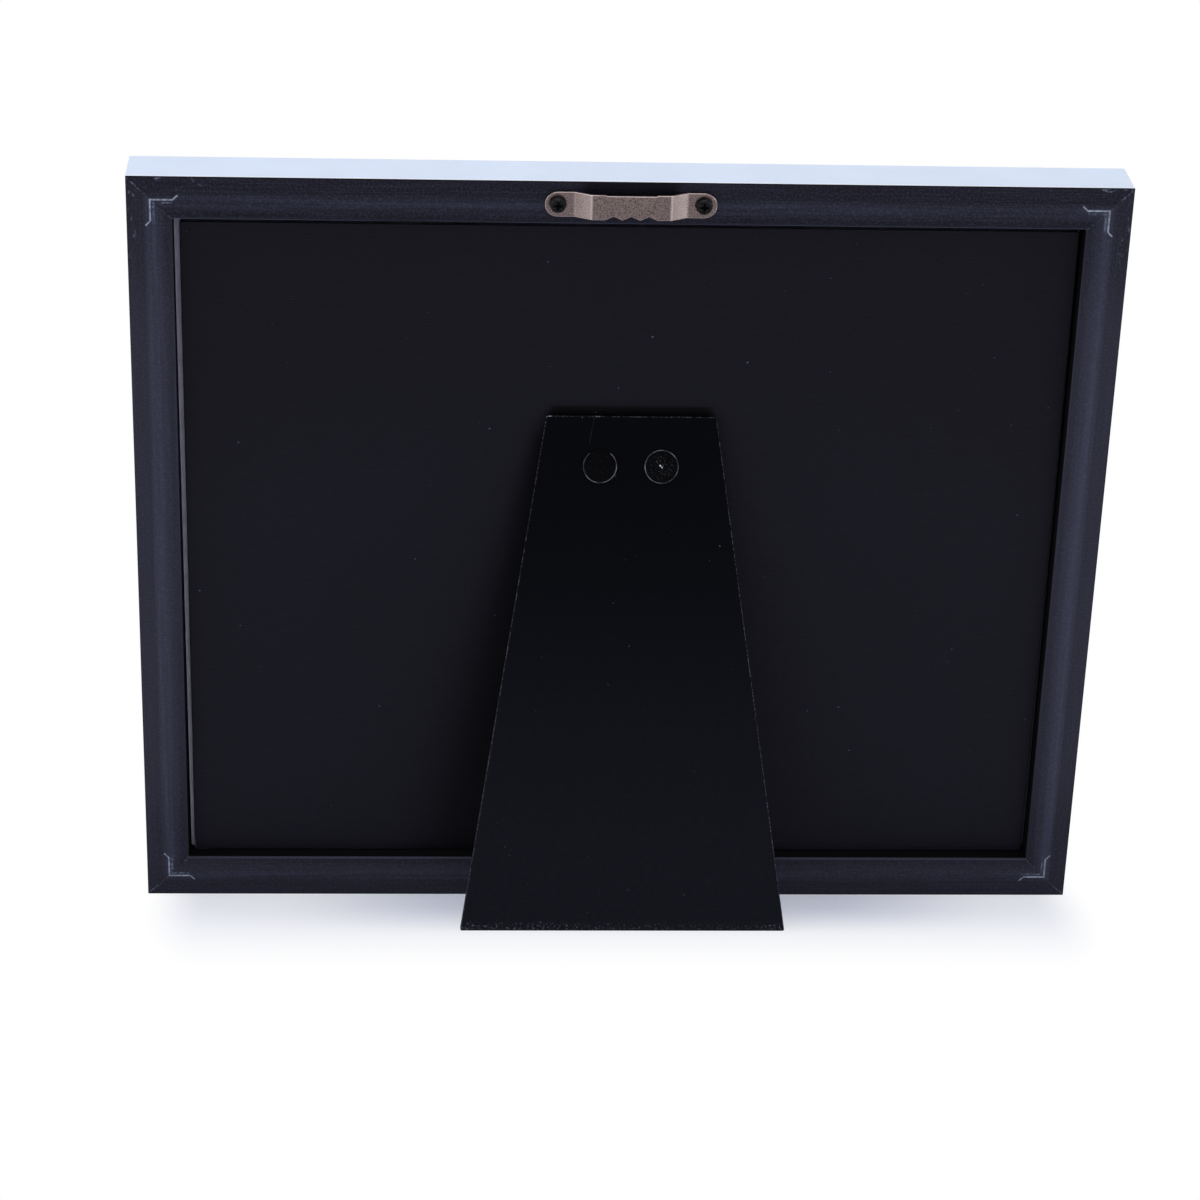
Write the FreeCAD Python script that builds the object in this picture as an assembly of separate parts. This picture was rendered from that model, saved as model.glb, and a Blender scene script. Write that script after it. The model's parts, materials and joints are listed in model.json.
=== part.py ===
"""Easel back photo frame for an 8 by 10 inch print, standing on its strut with the back to +Y."""
import FreeCAD, Part
import math
import os
from FreeCAD import Vector

# Print and the rabbet that takes it, lengths in millimetres throughout
print_width = 254.0
print_height = 203.2
print_thickness = 0.25
rabbet_clearance = 1.0

# Moulding section
rail_back_width = 12.5
lip_overlap = 5.5
moulding_depth = 18.5
face_fall = 1.5
face_round = 1.6
sight_round = 1.0
foil_thickness = 0.3
rear_bead = 0.6

# Low crest along the back of the moulding, measured from the outer side
crest_offset = 7.1
crest_height = 0.25
crest_half_width = 2.3
inner_drop = 0.7
inner_round = 0.4

# Sheets behind the lip, front to back
glass_thickness = 2.0
glass_trim = 0.4
card_thickness = 2.5
card_clearance = 0.3
board_thickness = 2.5
board_trim = 0.3
board_corner = 0.8
board_recess = 5.3
board_shift = 0.35
sheet_gap = 0.1
standing_gap = 0.2

# Nails across the mitres
nail_offset = 6.6
nail_leg = 6.3
nail_hook = 1.9
nail_sheet = 0.5
nail_length = 7.0
nail_sink = 0.1
nail_play = 0.05

# Pressed hanger on the top rail
hanger_length = 48.1
hanger_width = 7.3
hanger_sheet = 1.0
hanger_rise = 2.5
hanger_hole_spacing = 40.7
hanger_hole_diameter = 2.9
bridge_length = 22.4
slope_length = 4.5
bend_round = 1.3
notch_pitch = 4.95
notch_width = 5.5
notch_depth = 1.1
notch_count = 3
bridge_step = 0.25
bridge_step_length = 14.4
hanger_inset = 6.2
hanger_shift = 0.65

# Hanger screws
screw_head_diameter = 4.35
screw_head_height = 1.5
screw_head_round = 0.7
screw_shank_diameter = 2.3
screw_length = 8.0
screw_tip = 2.0
screw_play = 0.05
drive_span = 2.5
drive_slot = 0.65
drive_depth = 0.8

# Strut and its hinge
pin_height = 148.1
leg_opening = 16.0
lean = 16.0
leg_top_width = 48.9
leg_foot_width = 96.2
leg_thickness = 2.5
leg_corner = 0.6
easel_shift = 1.5
stop_gap = 0.1
fold_gap = 0.3
pin_diameter = 1.5
pin_play = 0.05
pin_overhang = 0.5
leaf_sheet = 0.6
leaf_width = 27.0
leaf_corner = 2.0
knuckle_width = 9.0
knuckle_gap = 0.2
knuckle_opening = 60.0
leg_leaf_length = 12.0
board_leaf_length = 18.0

# Rivets
leg_rivet_spacing = 17.8
leg_rivet_drop = 4.9
leg_rivet_head = 9.8
leg_rivet_head_height = 0.6
leg_rivet_dish = 0.25
leg_rivet_rim = 0.7
rivet_shank = 3.0
rivet_play = 0.1
rivet_tail = 5.0
rivet_tail_height = 0.4
board_rivet_spacing = 15.0
board_rivet_drop = 13.5
board_rivet_head = 5.6
board_rivet_head_height = 0.5

# Small value that carries a cutting tool past the face it cuts
overrun = 1.0

# Points nearer than this are one point
same_place = 0.000001

# Turns in degrees
quarter_turn = 90.0
full_turn = 4 * quarter_turn

# Sizes that follow from the ones above
rabbet_width = print_width + 2 * rabbet_clearance
rabbet_height = print_height + 2 * rabbet_clearance
outer_width = rabbet_width + 2 * rail_back_width
outer_height = rabbet_height + 2 * rail_back_width
face_width = rail_back_width + lip_overlap
sheet_floor = rail_back_width + standing_gap
board_back = -board_recess
board_front = board_back - board_thickness
card_front = board_front - sheet_gap - card_thickness
print_front = card_front - sheet_gap - print_thickness
glass_front = print_front - sheet_gap - glass_thickness
lip_back = glass_front - sheet_gap
opening_angle = math.radians(leg_opening)
lean_angle = math.radians(lean)
knuckle_radius = pin_diameter / 2 + pin_play + leaf_sheet
pin_back = board_back + knuckle_radius
easel_x = -board_shift - easel_shift

X_AXIS = Vector(1, 0, 0)
Y_AXIS = Vector(0, 1, 0)
Z_AXIS = Vector(0, 0, 1)
ORIGIN = Vector(0, 0, 0)

pieces = {}


def corner_arc(before, corner, after, radius):
    """Returns the two tangent points and the middle of the arc that rounds one corner."""
    towards_before = (before - corner).normalize()
    towards_after = (after - corner).normalize()
    half_turn = towards_before.getAngle(towards_after) / 2
    reach = radius / math.tan(half_turn)
    inward = (towards_before + towards_after).normalize()
    middle = corner + inward * (radius / math.sin(half_turn) - radius)
    return corner + towards_before * reach, middle, corner + towards_after * reach


def straight(start, end):
    """Returns the edge between two points, or none where two roundings meet."""
    if start.distanceToPoint(end) < same_place:
        return []
    return [Part.LineSegment(start, end).toShape()]


def rounded_face(corners):
    """Makes a flat face from corners, each a point with the radius of its rounding."""
    edges = []
    last_end = None
    first_start = None
    count = len(corners)
    for index in range(count):
        point, radius = corners[index]
        start, end = point, point
        if radius > 0:
            before = corners[index - 1][0]
            after = corners[(index + 1) % count][0]
            start, middle, end = corner_arc(before, point, after, radius)
            arc = Part.Arc(start, middle, end).toShape()
        if last_end is None:
            first_start = start
        else:
            edges += straight(last_end, start)
        if radius > 0:
            edges.append(arc)
        last_end = end
    edges += straight(last_end, first_start)
    return Part.Face(Part.Wire(edges))


def rounded_plate(width, height, thickness, radius):
    """Makes a plate standing on Z = 0, centred on X, with its front face at Y = 0."""
    corners = [
        (Vector(-width / 2, 0, 0), radius),
        (Vector(width / 2, 0, 0), radius),
        (Vector(width / 2, 0, height), radius),
        (Vector(-width / 2, 0, height), radius),
    ]
    return rounded_face(corners).extrude(Y_AXIS * thickness)


def ribbon_sides(path, thickness):
    """Returns the two sides of a bent strip whose middle line is the given path of points."""
    left, right = [], []
    for index, point in enumerate(path):
        into = path[max(index, 1)] - path[max(index, 1) - 1]
        out = path[min(index + 1, len(path) - 1)] - path[min(index + 1, len(path) - 1) - 1]
        into.normalize()
        out.normalize()
        across_in = Vector(-into.y, into.x, 0)
        across_out = Vector(-out.y, out.x, 0)
        across = (across_in + across_out).normalize()
        reach = thickness / 2 / across.dot(across_in)
        left.append(point + across * reach)
        right.append(point - across * reach)
    return left, right


def ribbon_face(path, thickness, bend=0):
    """Makes the flat face of a bent strip, with its inner bends rounded to the given radius."""
    left, right = ribbon_sides(path, thickness)
    corners = []
    for side in (left, right[::-1]):
        for index, point in enumerate(side):
            radius = 0
            if bend > 0 and 0 < index < len(side) - 1:
                before = side[index] - side[index - 1]
                after = side[index + 1] - side[index]
                inner = before.x * after.y - before.y * after.x > 0
                radius = bend + thickness if inner else bend
            corners.append((point, radius))
    return rounded_face(corners)


def turned(profile):
    """Makes a turned piece about the Y axis from (radius, y) points that start and end on it."""
    points = [Vector(radius, y, 0) for radius, y in profile]
    wire = Part.makePolygon(points + [points[0]])
    return Part.Face(wire).revolve(ORIGIN, Y_AXIS, full_turn)


def drilled(diameter, x, z, front, back):
    """Makes a drill along Y that runs past both given faces."""
    start = Vector(x, front - overrun, z)
    return Part.makeCylinder(diameter / 2, back - front + 2 * overrun, start, Y_AXIS)


def moved(shape, x, y, z):
    """Returns a moved copy of a shape."""
    copy = shape.copy()
    copy.translate(Vector(x, y, z))
    return copy


# Moulding


def foil_path(inset):
    """Corners of the face side of the section, from the rear bead to the back of the lip."""
    face_y = -moulding_depth + inset
    sight_y = face_y + face_fall
    sight_z = face_width - inset
    return [
        (Vector(0, -rear_bead, inset), 0),
        (Vector(0, face_y, inset), face_round - inset),
        (Vector(0, sight_y, sight_z), sight_round - inset),
        (Vector(0, lip_back, sight_z), 0),
    ]


def core_section():
    """Section of the black moulding under the foil, with the rabbet and the low crest."""
    back_side = [
        (Vector(0, lip_back, rail_back_width), 0),
        (Vector(0, -inner_drop, rail_back_width), inner_round),
        (Vector(0, crest_height, crest_offset + crest_half_width / 2), crest_half_width),
        (Vector(0, crest_height, crest_offset - crest_half_width / 2), crest_half_width),
        (Vector(0, 0, crest_offset - crest_half_width), 0),
        (Vector(0, 0, 0), 0),
        (Vector(0, -rear_bead, 0), 0),
    ]
    return rounded_face(foil_path(foil_thickness) + back_side)


def foil_section():
    """Section of the foil, wrapped from the outer side over the face to the lip."""
    return rounded_face(foil_path(0) + foil_path(foil_thickness)[::-1])


def mitred(section, length):
    """Runs a section along X, outer side down, and cuts both ends to mitres."""
    bar = section.extrude(X_AXIS * length)
    bar.translate(Vector(-length / 2, 0, 0))
    inner = face_width + overrun
    front = -moulding_depth - overrun
    mitre = Part.makePolygon([
        Vector(-length / 2 - overrun, front, -overrun),
        Vector(length / 2 + overrun, front, -overrun),
        Vector(length / 2 - inner, front, inner),
        Vector(inner - length / 2, front, inner),
        Vector(-length / 2 - overrun, front, -overrun),
    ])
    block = Part.Face(mitre).extrude(Y_AXIS * (moulding_depth + crest_height + 2 * overrun))
    return bar.common(block)


def set_round_frame(shape, turn, x, z):
    """Turns a bottom piece about Y and moves it to its side of the frame."""
    copy = shape.copy()
    copy.rotate(ORIGIN, Y_AXIS, turn)
    copy.translate(Vector(x, 0, z))
    return copy


SIDES = {
    "bottom": (outer_width, 0, 0, 0),
    "top": (outer_width, 2 * quarter_turn, 0, outer_height),
    "left": (outer_height, quarter_turn, -outer_width / 2, outer_height / 2),
    "right": (outer_height, 3 * quarter_turn, outer_width / 2, outer_height / 2),
}


def nail_path():
    """Middle line of a mitre nail in the corner's plane: two legs with hooked ends."""
    hook = nail_hook * math.sin(math.pi / 4)
    end = nail_offset + nail_leg
    return [
        Vector(nail_offset - hook, end + hook, 0),
        Vector(nail_offset, end, 0),
        Vector(nail_offset, nail_offset, 0),
        Vector(end, nail_offset, 0),
        Vector(end + hook, nail_offset - hook, 0),
    ]


def nail(thickness, length, top):
    """Makes one nail for the corner at the origin, whose rails run along +X and +Z."""
    face = ribbon_face(nail_path(), thickness)
    solid = face.extrude(Z_AXIS * length)
    solid.rotate(ORIGIN, X_AXIS, quarter_turn)
    solid.translate(Vector(0, top, 0))
    return solid


CORNERS = {
    "bottom_left": (0, -outer_width / 2, 0),
    "top_left": (quarter_turn, -outer_width / 2, outer_height),
    "top_right": (2 * quarter_turn, outer_width / 2, outer_height),
    "bottom_right": (3 * quarter_turn, outer_width / 2, 0),
}


def make_moulding():
    """Adds the four rails, their foil and the four mitre nails."""
    nail_top = crest_height - nail_sink
    slots = []
    for name, (turn, x, z) in CORNERS.items():
        metal = nail(nail_sheet, nail_length, nail_top)
        slot = nail(nail_sheet + 2 * nail_play, nail_length + nail_play + overrun, nail_top + overrun)
        pieces["v_nail_" + name] = set_round_frame(metal, turn, x, z)
        slots.append(set_round_frame(slot, turn, x, z))
    for name, (length, turn, x, z) in SIDES.items():
        core = set_round_frame(mitred(core_section(), length), turn, x, z)
        foil = set_round_frame(mitred(foil_section(), length), turn, x, z)
        pieces[name + "_rail"] = core.cut(Part.makeCompound(slots))
        pieces[name + "_foil"] = foil


# Hanger and its screws


def hanger_outline():
    """Outline of the hanger seen from behind: round ends, a stepped top and a notched lower edge."""
    half_length = hanger_length / 2
    half_width = hanger_width / 2
    blank = rounded_face([
        (Vector(-half_length, 0, -half_width), half_width),
        (Vector(half_length, 0, -half_width), half_width),
        (Vector(half_length, 0, half_width), half_width),
        (Vector(-half_length, 0, half_width), half_width),
    ])
    depth = hanger_rise + 2 * hanger_sheet
    block = blank.extrude(Y_AXIS * depth)
    step = Part.makeBox(bridge_step_length, depth, bridge_step + overrun)
    step.translate(Vector(-bridge_step_length / 2, 0, half_width - bridge_step))
    block = block.cut(step)
    first = -(notch_count - 1) / 2 * notch_pitch
    for index in range(notch_count):
        middle = first + index * notch_pitch
        notch = Part.makePolygon([
            Vector(middle - notch_width / 2, 0, -half_width - overrun),
            Vector(middle + notch_width / 2, 0, -half_width - overrun),
            Vector(middle + notch_width / 2, 0, -half_width),
            Vector(middle, 0, notch_depth - half_width),
            Vector(middle - notch_width / 2, 0, -half_width),
            Vector(middle - notch_width / 2, 0, -half_width - overrun),
        ])
        block = block.cut(Part.Face(notch).extrude(Y_AXIS * depth))
    return block


def make_hanger():
    """Adds the pressed hanger on the top rail with its two screws, and drills the rail."""
    middle = hanger_sheet / 2
    flat = hanger_length / 2
    foot = bridge_length / 2 + slope_length
    bridge = bridge_length / 2
    path = [
        Vector(flat, middle, 0),
        Vector(foot, middle, 0),
        Vector(bridge, middle + hanger_rise, 0),
        Vector(-bridge, middle + hanger_rise, 0),
        Vector(-foot, middle, 0),
        Vector(-flat, middle, 0),
    ]
    strip = ribbon_face(path, hanger_sheet, bend_round).extrude(Z_AXIS * hanger_width)
    strip.translate(Vector(0, 0, -hanger_width / 2))
    body = strip.common(hanger_outline())
    centre_z = outer_height - hanger_inset
    body.translate(Vector(hanger_shift, crest_height, centre_z))
    rail = pieces["top_rail"]
    for name, side in (("left", -1), ("right", 1)):
        x = hanger_shift + side * hanger_hole_spacing / 2
        body = body.cut(drilled(hanger_hole_diameter, x, centre_z, crest_height, crest_height + hanger_sheet))
        pieces["hanger_screw_" + name] = moved(hanger_screw(), x, crest_height + hanger_sheet, centre_z)
        pilot = screw_outline(screw_play)
        rail = rail.cut(moved(pilot, x, crest_height + hanger_sheet, centre_z))
    pieces["sawtooth_hanger"] = body
    pieces["top_rail"] = rail


def screw_outline(play):
    """Turned shank of a hanger screw, widened all round by the given play."""
    radius = screw_shank_diameter / 2 + play
    return turned([
        (0, 0),
        (radius, 0),
        (radius, screw_tip - screw_length - play),
        (0, -screw_length - play),
    ])


def hanger_screw():
    """Makes a cross-head screw with its head on Y = 0 and its shank towards -Y."""
    head = screw_head_diameter / 2
    shank = screw_shank_diameter / 2
    flat = head - screw_head_round
    shoulder = screw_head_height - screw_head_round
    slant = screw_head_round * math.sin(math.radians(quarter_turn / 2))
    screw = turned([
        (0, -screw_length),
        (shank, screw_tip - screw_length),
        (shank, 0),
        (head, 0),
        (head, shoulder),
        (flat + slant, shoulder + slant),
        (flat, screw_head_height),
        (0, screw_head_height),
    ])
    slot = Part.makeBox(drive_span, drive_depth + overrun, drive_slot)
    slot.translate(Vector(-drive_span / 2, screw_head_height - drive_depth, -drive_slot / 2))
    crossed = slot.copy()
    crossed.rotate(ORIGIN, Y_AXIS, quarter_turn)
    return screw.cut(slot).cut(crossed)


# Glass, print, card and board


def make_sheets():
    """Adds the glass, the print and the card that stand in the rabbet."""
    glass_width = print_width - 2 * glass_trim
    glass_height = print_height - 2 * glass_trim
    glass = Part.makeBox(glass_width, glass_thickness, glass_height)
    pieces["glass_pane"] = moved(glass, -glass_width / 2, glass_front, sheet_floor)
    paper = Part.makeBox(print_width, print_thickness, print_height)
    pieces["print_sheet"] = moved(paper, -print_width / 2, print_front, sheet_floor)
    card_width = rabbet_width - 2 * card_clearance
    card_height = rabbet_height - 2 * card_clearance
    card = rounded_plate(card_width, card_height, card_thickness, board_corner)
    pieces["filler_card"] = moved(card, 0, card_front, rail_back_width + card_clearance)


def make_board():
    """Adds the backing board with the holes and sunk seats of its two rivets."""
    width = print_width - 2 * board_trim
    height = print_height - 2 * board_trim
    board = rounded_plate(width, height, board_thickness, board_corner)
    board.translate(Vector(-board_shift, board_front, sheet_floor))
    z = pin_height - board_rivet_drop
    seat_radius = rivet_tail / 2 + rivet_play
    seat_depth = rivet_tail_height + rivet_play
    for side in (-1, 1):
        x = easel_x + side * board_rivet_spacing / 2
        board = board.cut(drilled(rivet_shank + 2 * rivet_play, x, z, board_front, board_back))
        start = Vector(x, board_front - overrun, z)
        board = board.cut(Part.makeCylinder(seat_radius, seat_depth + overrun, start, Y_AXIS))
    pieces["backing_board"] = board


# Hinge of the strut, made about its pin: board side at -Y, leaves hanging down


def leaf(length, holes, hole_drop):
    """Makes a hinge leaf against Y = -knuckle_radius, with its upper edge under the pin."""
    corners = [
        (Vector(-leaf_width / 2, -knuckle_radius, 0), 0),
        (Vector(-leaf_width / 2, -knuckle_radius, -length), leaf_corner),
        (Vector(leaf_width / 2, -knuckle_radius, -length), leaf_corner),
        (Vector(leaf_width / 2, -knuckle_radius, 0), 0),
    ]
    plate = rounded_face(corners).extrude(Y_AXIS * leaf_sheet)
    for side in (-1, 1):
        hole = drilled(rivet_shank + 2 * rivet_play, side * holes / 2, -hole_drop, -knuckle_radius, 0)
        plate = plate.cut(hole)
    return plate


def knuckle(start, width):
    """Makes one knuckle, rolled round the X axis from the top of a leaf and open below."""
    roll = Part.makeCylinder(knuckle_radius, width, ORIGIN, Z_AXIS, full_turn - knuckle_opening)
    roll.rotate(ORIGIN, Y_AXIS, quarter_turn)
    roll.rotate(ORIGIN, X_AXIS, knuckle_opening - quarter_turn)
    return moved(roll, start, 0, 0)


def relief(start, width):
    """Room for the other leaf's knuckle, cut from the upper edge of a leaf."""
    radius = knuckle_radius + knuckle_gap
    return Part.makeCylinder(radius, width + 2 * knuckle_gap, Vector(start - knuckle_gap, 0, 0), X_AXIS)


def make_hinge():
    """Adds both leaves, the pin, the leg and all rivets, with the leg opened to its stop."""
    side_width = (leaf_width - knuckle_width) / 2 - knuckle_gap
    bore_length = leaf_width + 2 * overrun
    bore = Part.makeCylinder(pin_diameter / 2 + pin_play, bore_length, Vector(-bore_length / 2, 0, 0), X_AXIS)
    board_leaf = leaf(board_leaf_length, board_rivet_spacing, board_rivet_drop)
    board_leaf = board_leaf.cut(relief(-knuckle_width / 2, knuckle_width))
    board_leaf = board_leaf.fuse(knuckle(-leaf_width / 2, side_width))
    board_leaf = board_leaf.fuse(knuckle(leaf_width / 2 - side_width, side_width)).cut(bore).removeSplitter()
    leg_leaf = leaf(leg_leaf_length, leg_rivet_spacing, leg_rivet_drop)
    leg_leaf = leg_leaf.cut(relief(-leaf_width / 2, side_width))
    leg_leaf = leg_leaf.cut(relief(leaf_width / 2 - side_width, side_width))
    leg_leaf = leg_leaf.fuse(knuckle(-knuckle_width / 2, knuckle_width)).cut(bore).removeSplitter()
    leg_leaf = leg_leaf.mirror(ORIGIN, Y_AXIS)
    pin_length = leaf_width + 2 * pin_overhang
    pin = Part.makeCylinder(pin_diameter / 2, pin_length, Vector(-pin_length / 2, 0, 0), X_AXIS)
    still = {"hinge_board_leaf": board_leaf, "hinge_pin": pin}
    swung = {"hinge_leg_leaf": leg_leaf, "strut_leg": leg()}
    for name, side in (("left", -1), ("right", 1)):
        board_rivet_x = side * board_rivet_spacing / 2
        still["board_rivet_" + name] = moved(board_rivet(), board_rivet_x, 0, -board_rivet_drop)
        leg_rivet_x = side * leg_rivet_spacing / 2
        swung["leg_rivet_" + name] = moved(leg_rivet(), leg_rivet_x, 0, -leg_rivet_drop)
    for name, shape in still.items():
        pieces[name] = moved(shape, easel_x, pin_back, pin_height)
    for name, shape in swung.items():
        opened = shape.copy()
        opened.rotate(ORIGIN, X_AXIS, leg_opening)
        pieces[name] = moved(opened, easel_x, pin_back, pin_height)


def leg_reach():
    """Distances along the leg from the pin up to its top end and down to its foot."""
    top_drop = knuckle_radius + knuckle_radius * math.cos(opening_angle) - stop_gap
    up = top_drop / math.sin(opening_angle)
    pin_level = pin_height * math.cos(lean_angle) - pin_back * math.sin(lean_angle)
    tilt = opening_angle - lean_angle
    inner_corner = knuckle_radius * math.sin(tilt)
    outer_corner = (knuckle_radius + leg_thickness) * math.sin(tilt)
    down = (pin_level + min(inner_corner, outer_corner)) / math.cos(tilt)
    return up, down


def leg():
    """Makes the tapered leg, parallel to the board, with its rivet holes."""
    up, down = leg_reach()
    corners = [
        (Vector(-leg_top_width / 2, knuckle_radius, up), leg_corner),
        (Vector(-leg_foot_width / 2, knuckle_radius, -down), leg_corner),
        (Vector(leg_foot_width / 2, knuckle_radius, -down), leg_corner),
        (Vector(leg_top_width / 2, knuckle_radius, up), leg_corner),
    ]
    plate = rounded_face(corners).extrude(Y_AXIS * leg_thickness)
    for side in (-1, 1):
        x = side * leg_rivet_spacing / 2
        back = knuckle_radius + leg_thickness
        hole = drilled(rivet_shank + 2 * rivet_play, x, -leg_rivet_drop, knuckle_radius, back)
        plate = plate.cut(hole)
    return plate


def leg_rivet():
    """Makes a rivet with a dished head on the leg and a clinched tail under the leaf."""
    face = knuckle_radius + leg_thickness
    under = knuckle_radius - leaf_sheet
    shank = rivet_shank / 2
    head = leg_rivet_head / 2
    top = face + leg_rivet_head_height
    profile = [
        (0, under - rivet_tail_height),
        (rivet_tail / 2, under - rivet_tail_height),
        (rivet_tail / 2, under),
        (shank, under),
        (shank, face),
        (head, face),
        (head, face + leg_rivet_head_height / 2),
        (head - leg_rivet_rim / 2, top),
        (head - leg_rivet_rim, top),
        (head - 2 * leg_rivet_rim, top - leg_rivet_dish),
        (0, top - leg_rivet_dish),
    ]
    return turned(profile)


def board_rivet():
    """Makes a rivet with its head on the board's leaf and its tail sunk in the board's front."""
    face = leaf_sheet - knuckle_radius
    under = -knuckle_radius - board_thickness + rivet_tail_height
    shank = rivet_shank / 2
    head = board_rivet_head / 2
    profile = [
        (0, under - rivet_tail_height),
        (rivet_tail / 2, under - rivet_tail_height),
        (rivet_tail / 2, under),
        (shank, under),
        (shank, face),
        (head, face),
        (head, face + board_rivet_head_height / 2),
        (head - board_rivet_head_height / 2, face + board_rivet_head_height),
        (0, face + board_rivet_head_height),
    ]
    return turned(profile)


def folded_tilt():
    """Angle between leg and board where the folded leg lies just over the bottom rail's crest."""
    down = crest_offset - pin_height
    out = crest_height - pin_back
    clear = knuckle_radius - fold_gap
    return math.degrees(math.pi - math.asin(clear / math.hypot(down, out)) - math.atan2(out, down))


make_moulding()
make_hanger()
make_sheets()
make_board()
make_hinge()

# Leaned back until the rear bottom edge and the foot stand on Z = 0, with the origin under the middle
for name in pieces:
    shape = pieces[name]
    shape.rotate(ORIGIN, X_AXIS, -lean)
whole = Part.makeCompound(list(pieces.values())).optimalBoundingBox()
centre_y = (whole.YMin + whole.YMax) / 2

os.makedirs("parts", exist_ok=True)
for name in sorted(pieces):
    shape = pieces[name]
    shape.translate(Vector(0, -centre_y, 0))
    shape.exportStep("parts/" + name + ".step")
    valid = "valid" if shape.isValid() else "NOT VALID"
    print(name, len(shape.Solids), "solids", round(shape.Volume, 1), "mm3", valid)


def on_object(x, y, z):
    """Place on the finished object of a point given in the upright frame."""
    along = y * math.cos(lean_angle) + z * math.sin(lean_angle) - centre_y
    up = z * math.cos(lean_angle) - y * math.sin(lean_angle)
    return [round(value, 4) for value in (x, along, up)]


hanger_z = outer_height - hanger_inset
notch_z = hanger_z - hanger_width / 2 + notch_depth
hanger_y = crest_height + hanger_rise + hanger_sheet / 2
print("depth range", round(whole.YMin - centre_y, 3), round(whole.YMax - centre_y, 3))
print("height range", round(whole.ZMin, 3), round(whole.ZMax, 3))
print("strut pin", on_object(easel_x, pin_back, pin_height))
print("strut closes by", round(leg_opening - folded_tilt(), 3), "degrees")
print("leg up and down", [round(value, 3) for value in leg_reach()])
print("bottom side middle", on_object(0, -moulding_depth / 2, 0))
print("hanger nail seat", on_object(hanger_shift, hanger_y, notch_z))
down = leg_reach()[1]
middle = knuckle_radius + leg_thickness / 2
foot_y = pin_back + down * math.sin(opening_angle) + middle * math.cos(opening_angle)
foot_z = pin_height - down * math.cos(opening_angle) + middle * math.sin(opening_angle)
print("foot middle", on_object(easel_x, foot_y, foot_z))
print("lip thickness", round(moulding_depth + lip_back, 3))
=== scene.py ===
"""Looks of an easel back photo frame, built piece by piece around its packed frame."""

import json
import math
from types import SimpleNamespace

import bmesh
import bpy
from mathutils import Color, Matrix, Vector


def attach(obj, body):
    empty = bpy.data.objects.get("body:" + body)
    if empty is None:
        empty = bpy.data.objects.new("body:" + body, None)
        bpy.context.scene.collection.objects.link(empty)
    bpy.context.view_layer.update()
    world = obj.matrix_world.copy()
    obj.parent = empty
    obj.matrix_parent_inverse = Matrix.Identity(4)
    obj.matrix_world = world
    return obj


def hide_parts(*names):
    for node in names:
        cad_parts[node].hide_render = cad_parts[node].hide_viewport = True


bl_info = {
    "name": "Easel Back Photo Frame",
    "version": (1, 0, 0),
    "blender": (4, 5, 0),
    "location": "View3D > Sidebar > Photo Frame",
    "description": "Builds the visible pieces and finishes of an easel back photo frame",
    "category": "Add Mesh",
}

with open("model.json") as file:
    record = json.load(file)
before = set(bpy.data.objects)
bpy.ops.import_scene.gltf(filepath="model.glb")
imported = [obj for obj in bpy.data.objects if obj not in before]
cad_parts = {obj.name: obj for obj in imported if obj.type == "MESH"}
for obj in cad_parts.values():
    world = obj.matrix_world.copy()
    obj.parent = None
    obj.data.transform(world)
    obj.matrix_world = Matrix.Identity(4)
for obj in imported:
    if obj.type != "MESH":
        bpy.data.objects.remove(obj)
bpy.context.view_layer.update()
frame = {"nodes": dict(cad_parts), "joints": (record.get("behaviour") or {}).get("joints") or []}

# Steps in a rounded corner, in a drilled hole and in a full turn
CORNER_STEPS = 6
HOLE_STEPS = 32
TURN_STEPS = 64

# Cuts across each slope of the hanger, which let it bend
BEND_STEPS = 26

# Turn of a hinge leaf round the pin, and its steps
ROLL = math.radians(300)
ROLL_STEPS = 24

# Faces that meet at more than these angles have a rim, and a sharp line in the shading
RIM_ANGLE = math.radians(55)
SHARP_ANGLE = math.radians(38)

# Points nearer than this are one point, in metres
WELD = 0.000004

WHITE = (1.0, 1.0, 1.0)


def shade(red, green, blue):
    """Linear colour of a shade given as a screen shows it, each part from 0 to 255."""
    return tuple(Color((red / 255, green / 255, blue / 255)).from_srgb_to_scene_linear())


def darker(plain, level):
    """A colour times a level."""
    return [part * level for part in plain]


# Working frames: X to the right as seen from behind, Y up and Z out of the back


def working_frame(right, up, out, origin):
    """Matrix of a working frame from its three directions and its origin."""
    matrix = Matrix((right, up, out)).transposed().to_4x4()
    matrix.translation = origin
    return matrix


def node_box(node, seat):
    """Lowest and highest corner of a CAD node, measured in a working frame."""
    back = seat.inverted()
    points = [back @ vertex.co for vertex in frame["nodes"][node].data.vertices]
    low = Vector([min(point[axis] for point in points) for axis in range(3)])
    high = Vector([max(point[axis] for point in points) for axis in range(3)])
    return low, high


def node_seat(node, seat, height=0.0):
    """Working frame moved to the middle of a CAD node, at a height along its Z."""
    low, high = node_box(node, seat)
    return seat @ Matrix.Translation(((low.x + high.x) / 2, (low.y + high.y) / 2, height))


joints = {joint["name"]: joint for joint in frame["joints"]}
OUT = Vector(joints["backing_lift"]["axis"]).normalized()
UP = Vector((0.0, -OUT.z, OUT.y))
RIGHT = UP.cross(OUT)

# Height of the moulding's low crest over its flat back
CREST_HEIGHT = 0.00025


def find_panel():
    """Frame of the leaned moulding: origin at the middle of the rear bottom edge."""
    level = working_frame(RIGHT, UP, OUT, Vector((0, 0, 0)))
    low, high = node_box("bottom_rail", level)
    middle = (low.x + high.x) / 2
    return level @ Matrix.Translation((middle, low.y, high.z - CREST_HEIGHT))


def find_leg_seat():
    """Frame of the strut: upright at rest, with its origin on the hinge pin."""
    anchor = Vector(joints["strut_hinge"]["pos_m"])
    return working_frame(Vector((-1, 0, 0)), Vector((0, 0, 1)), Vector((0, 1, 0)), anchor)


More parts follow.
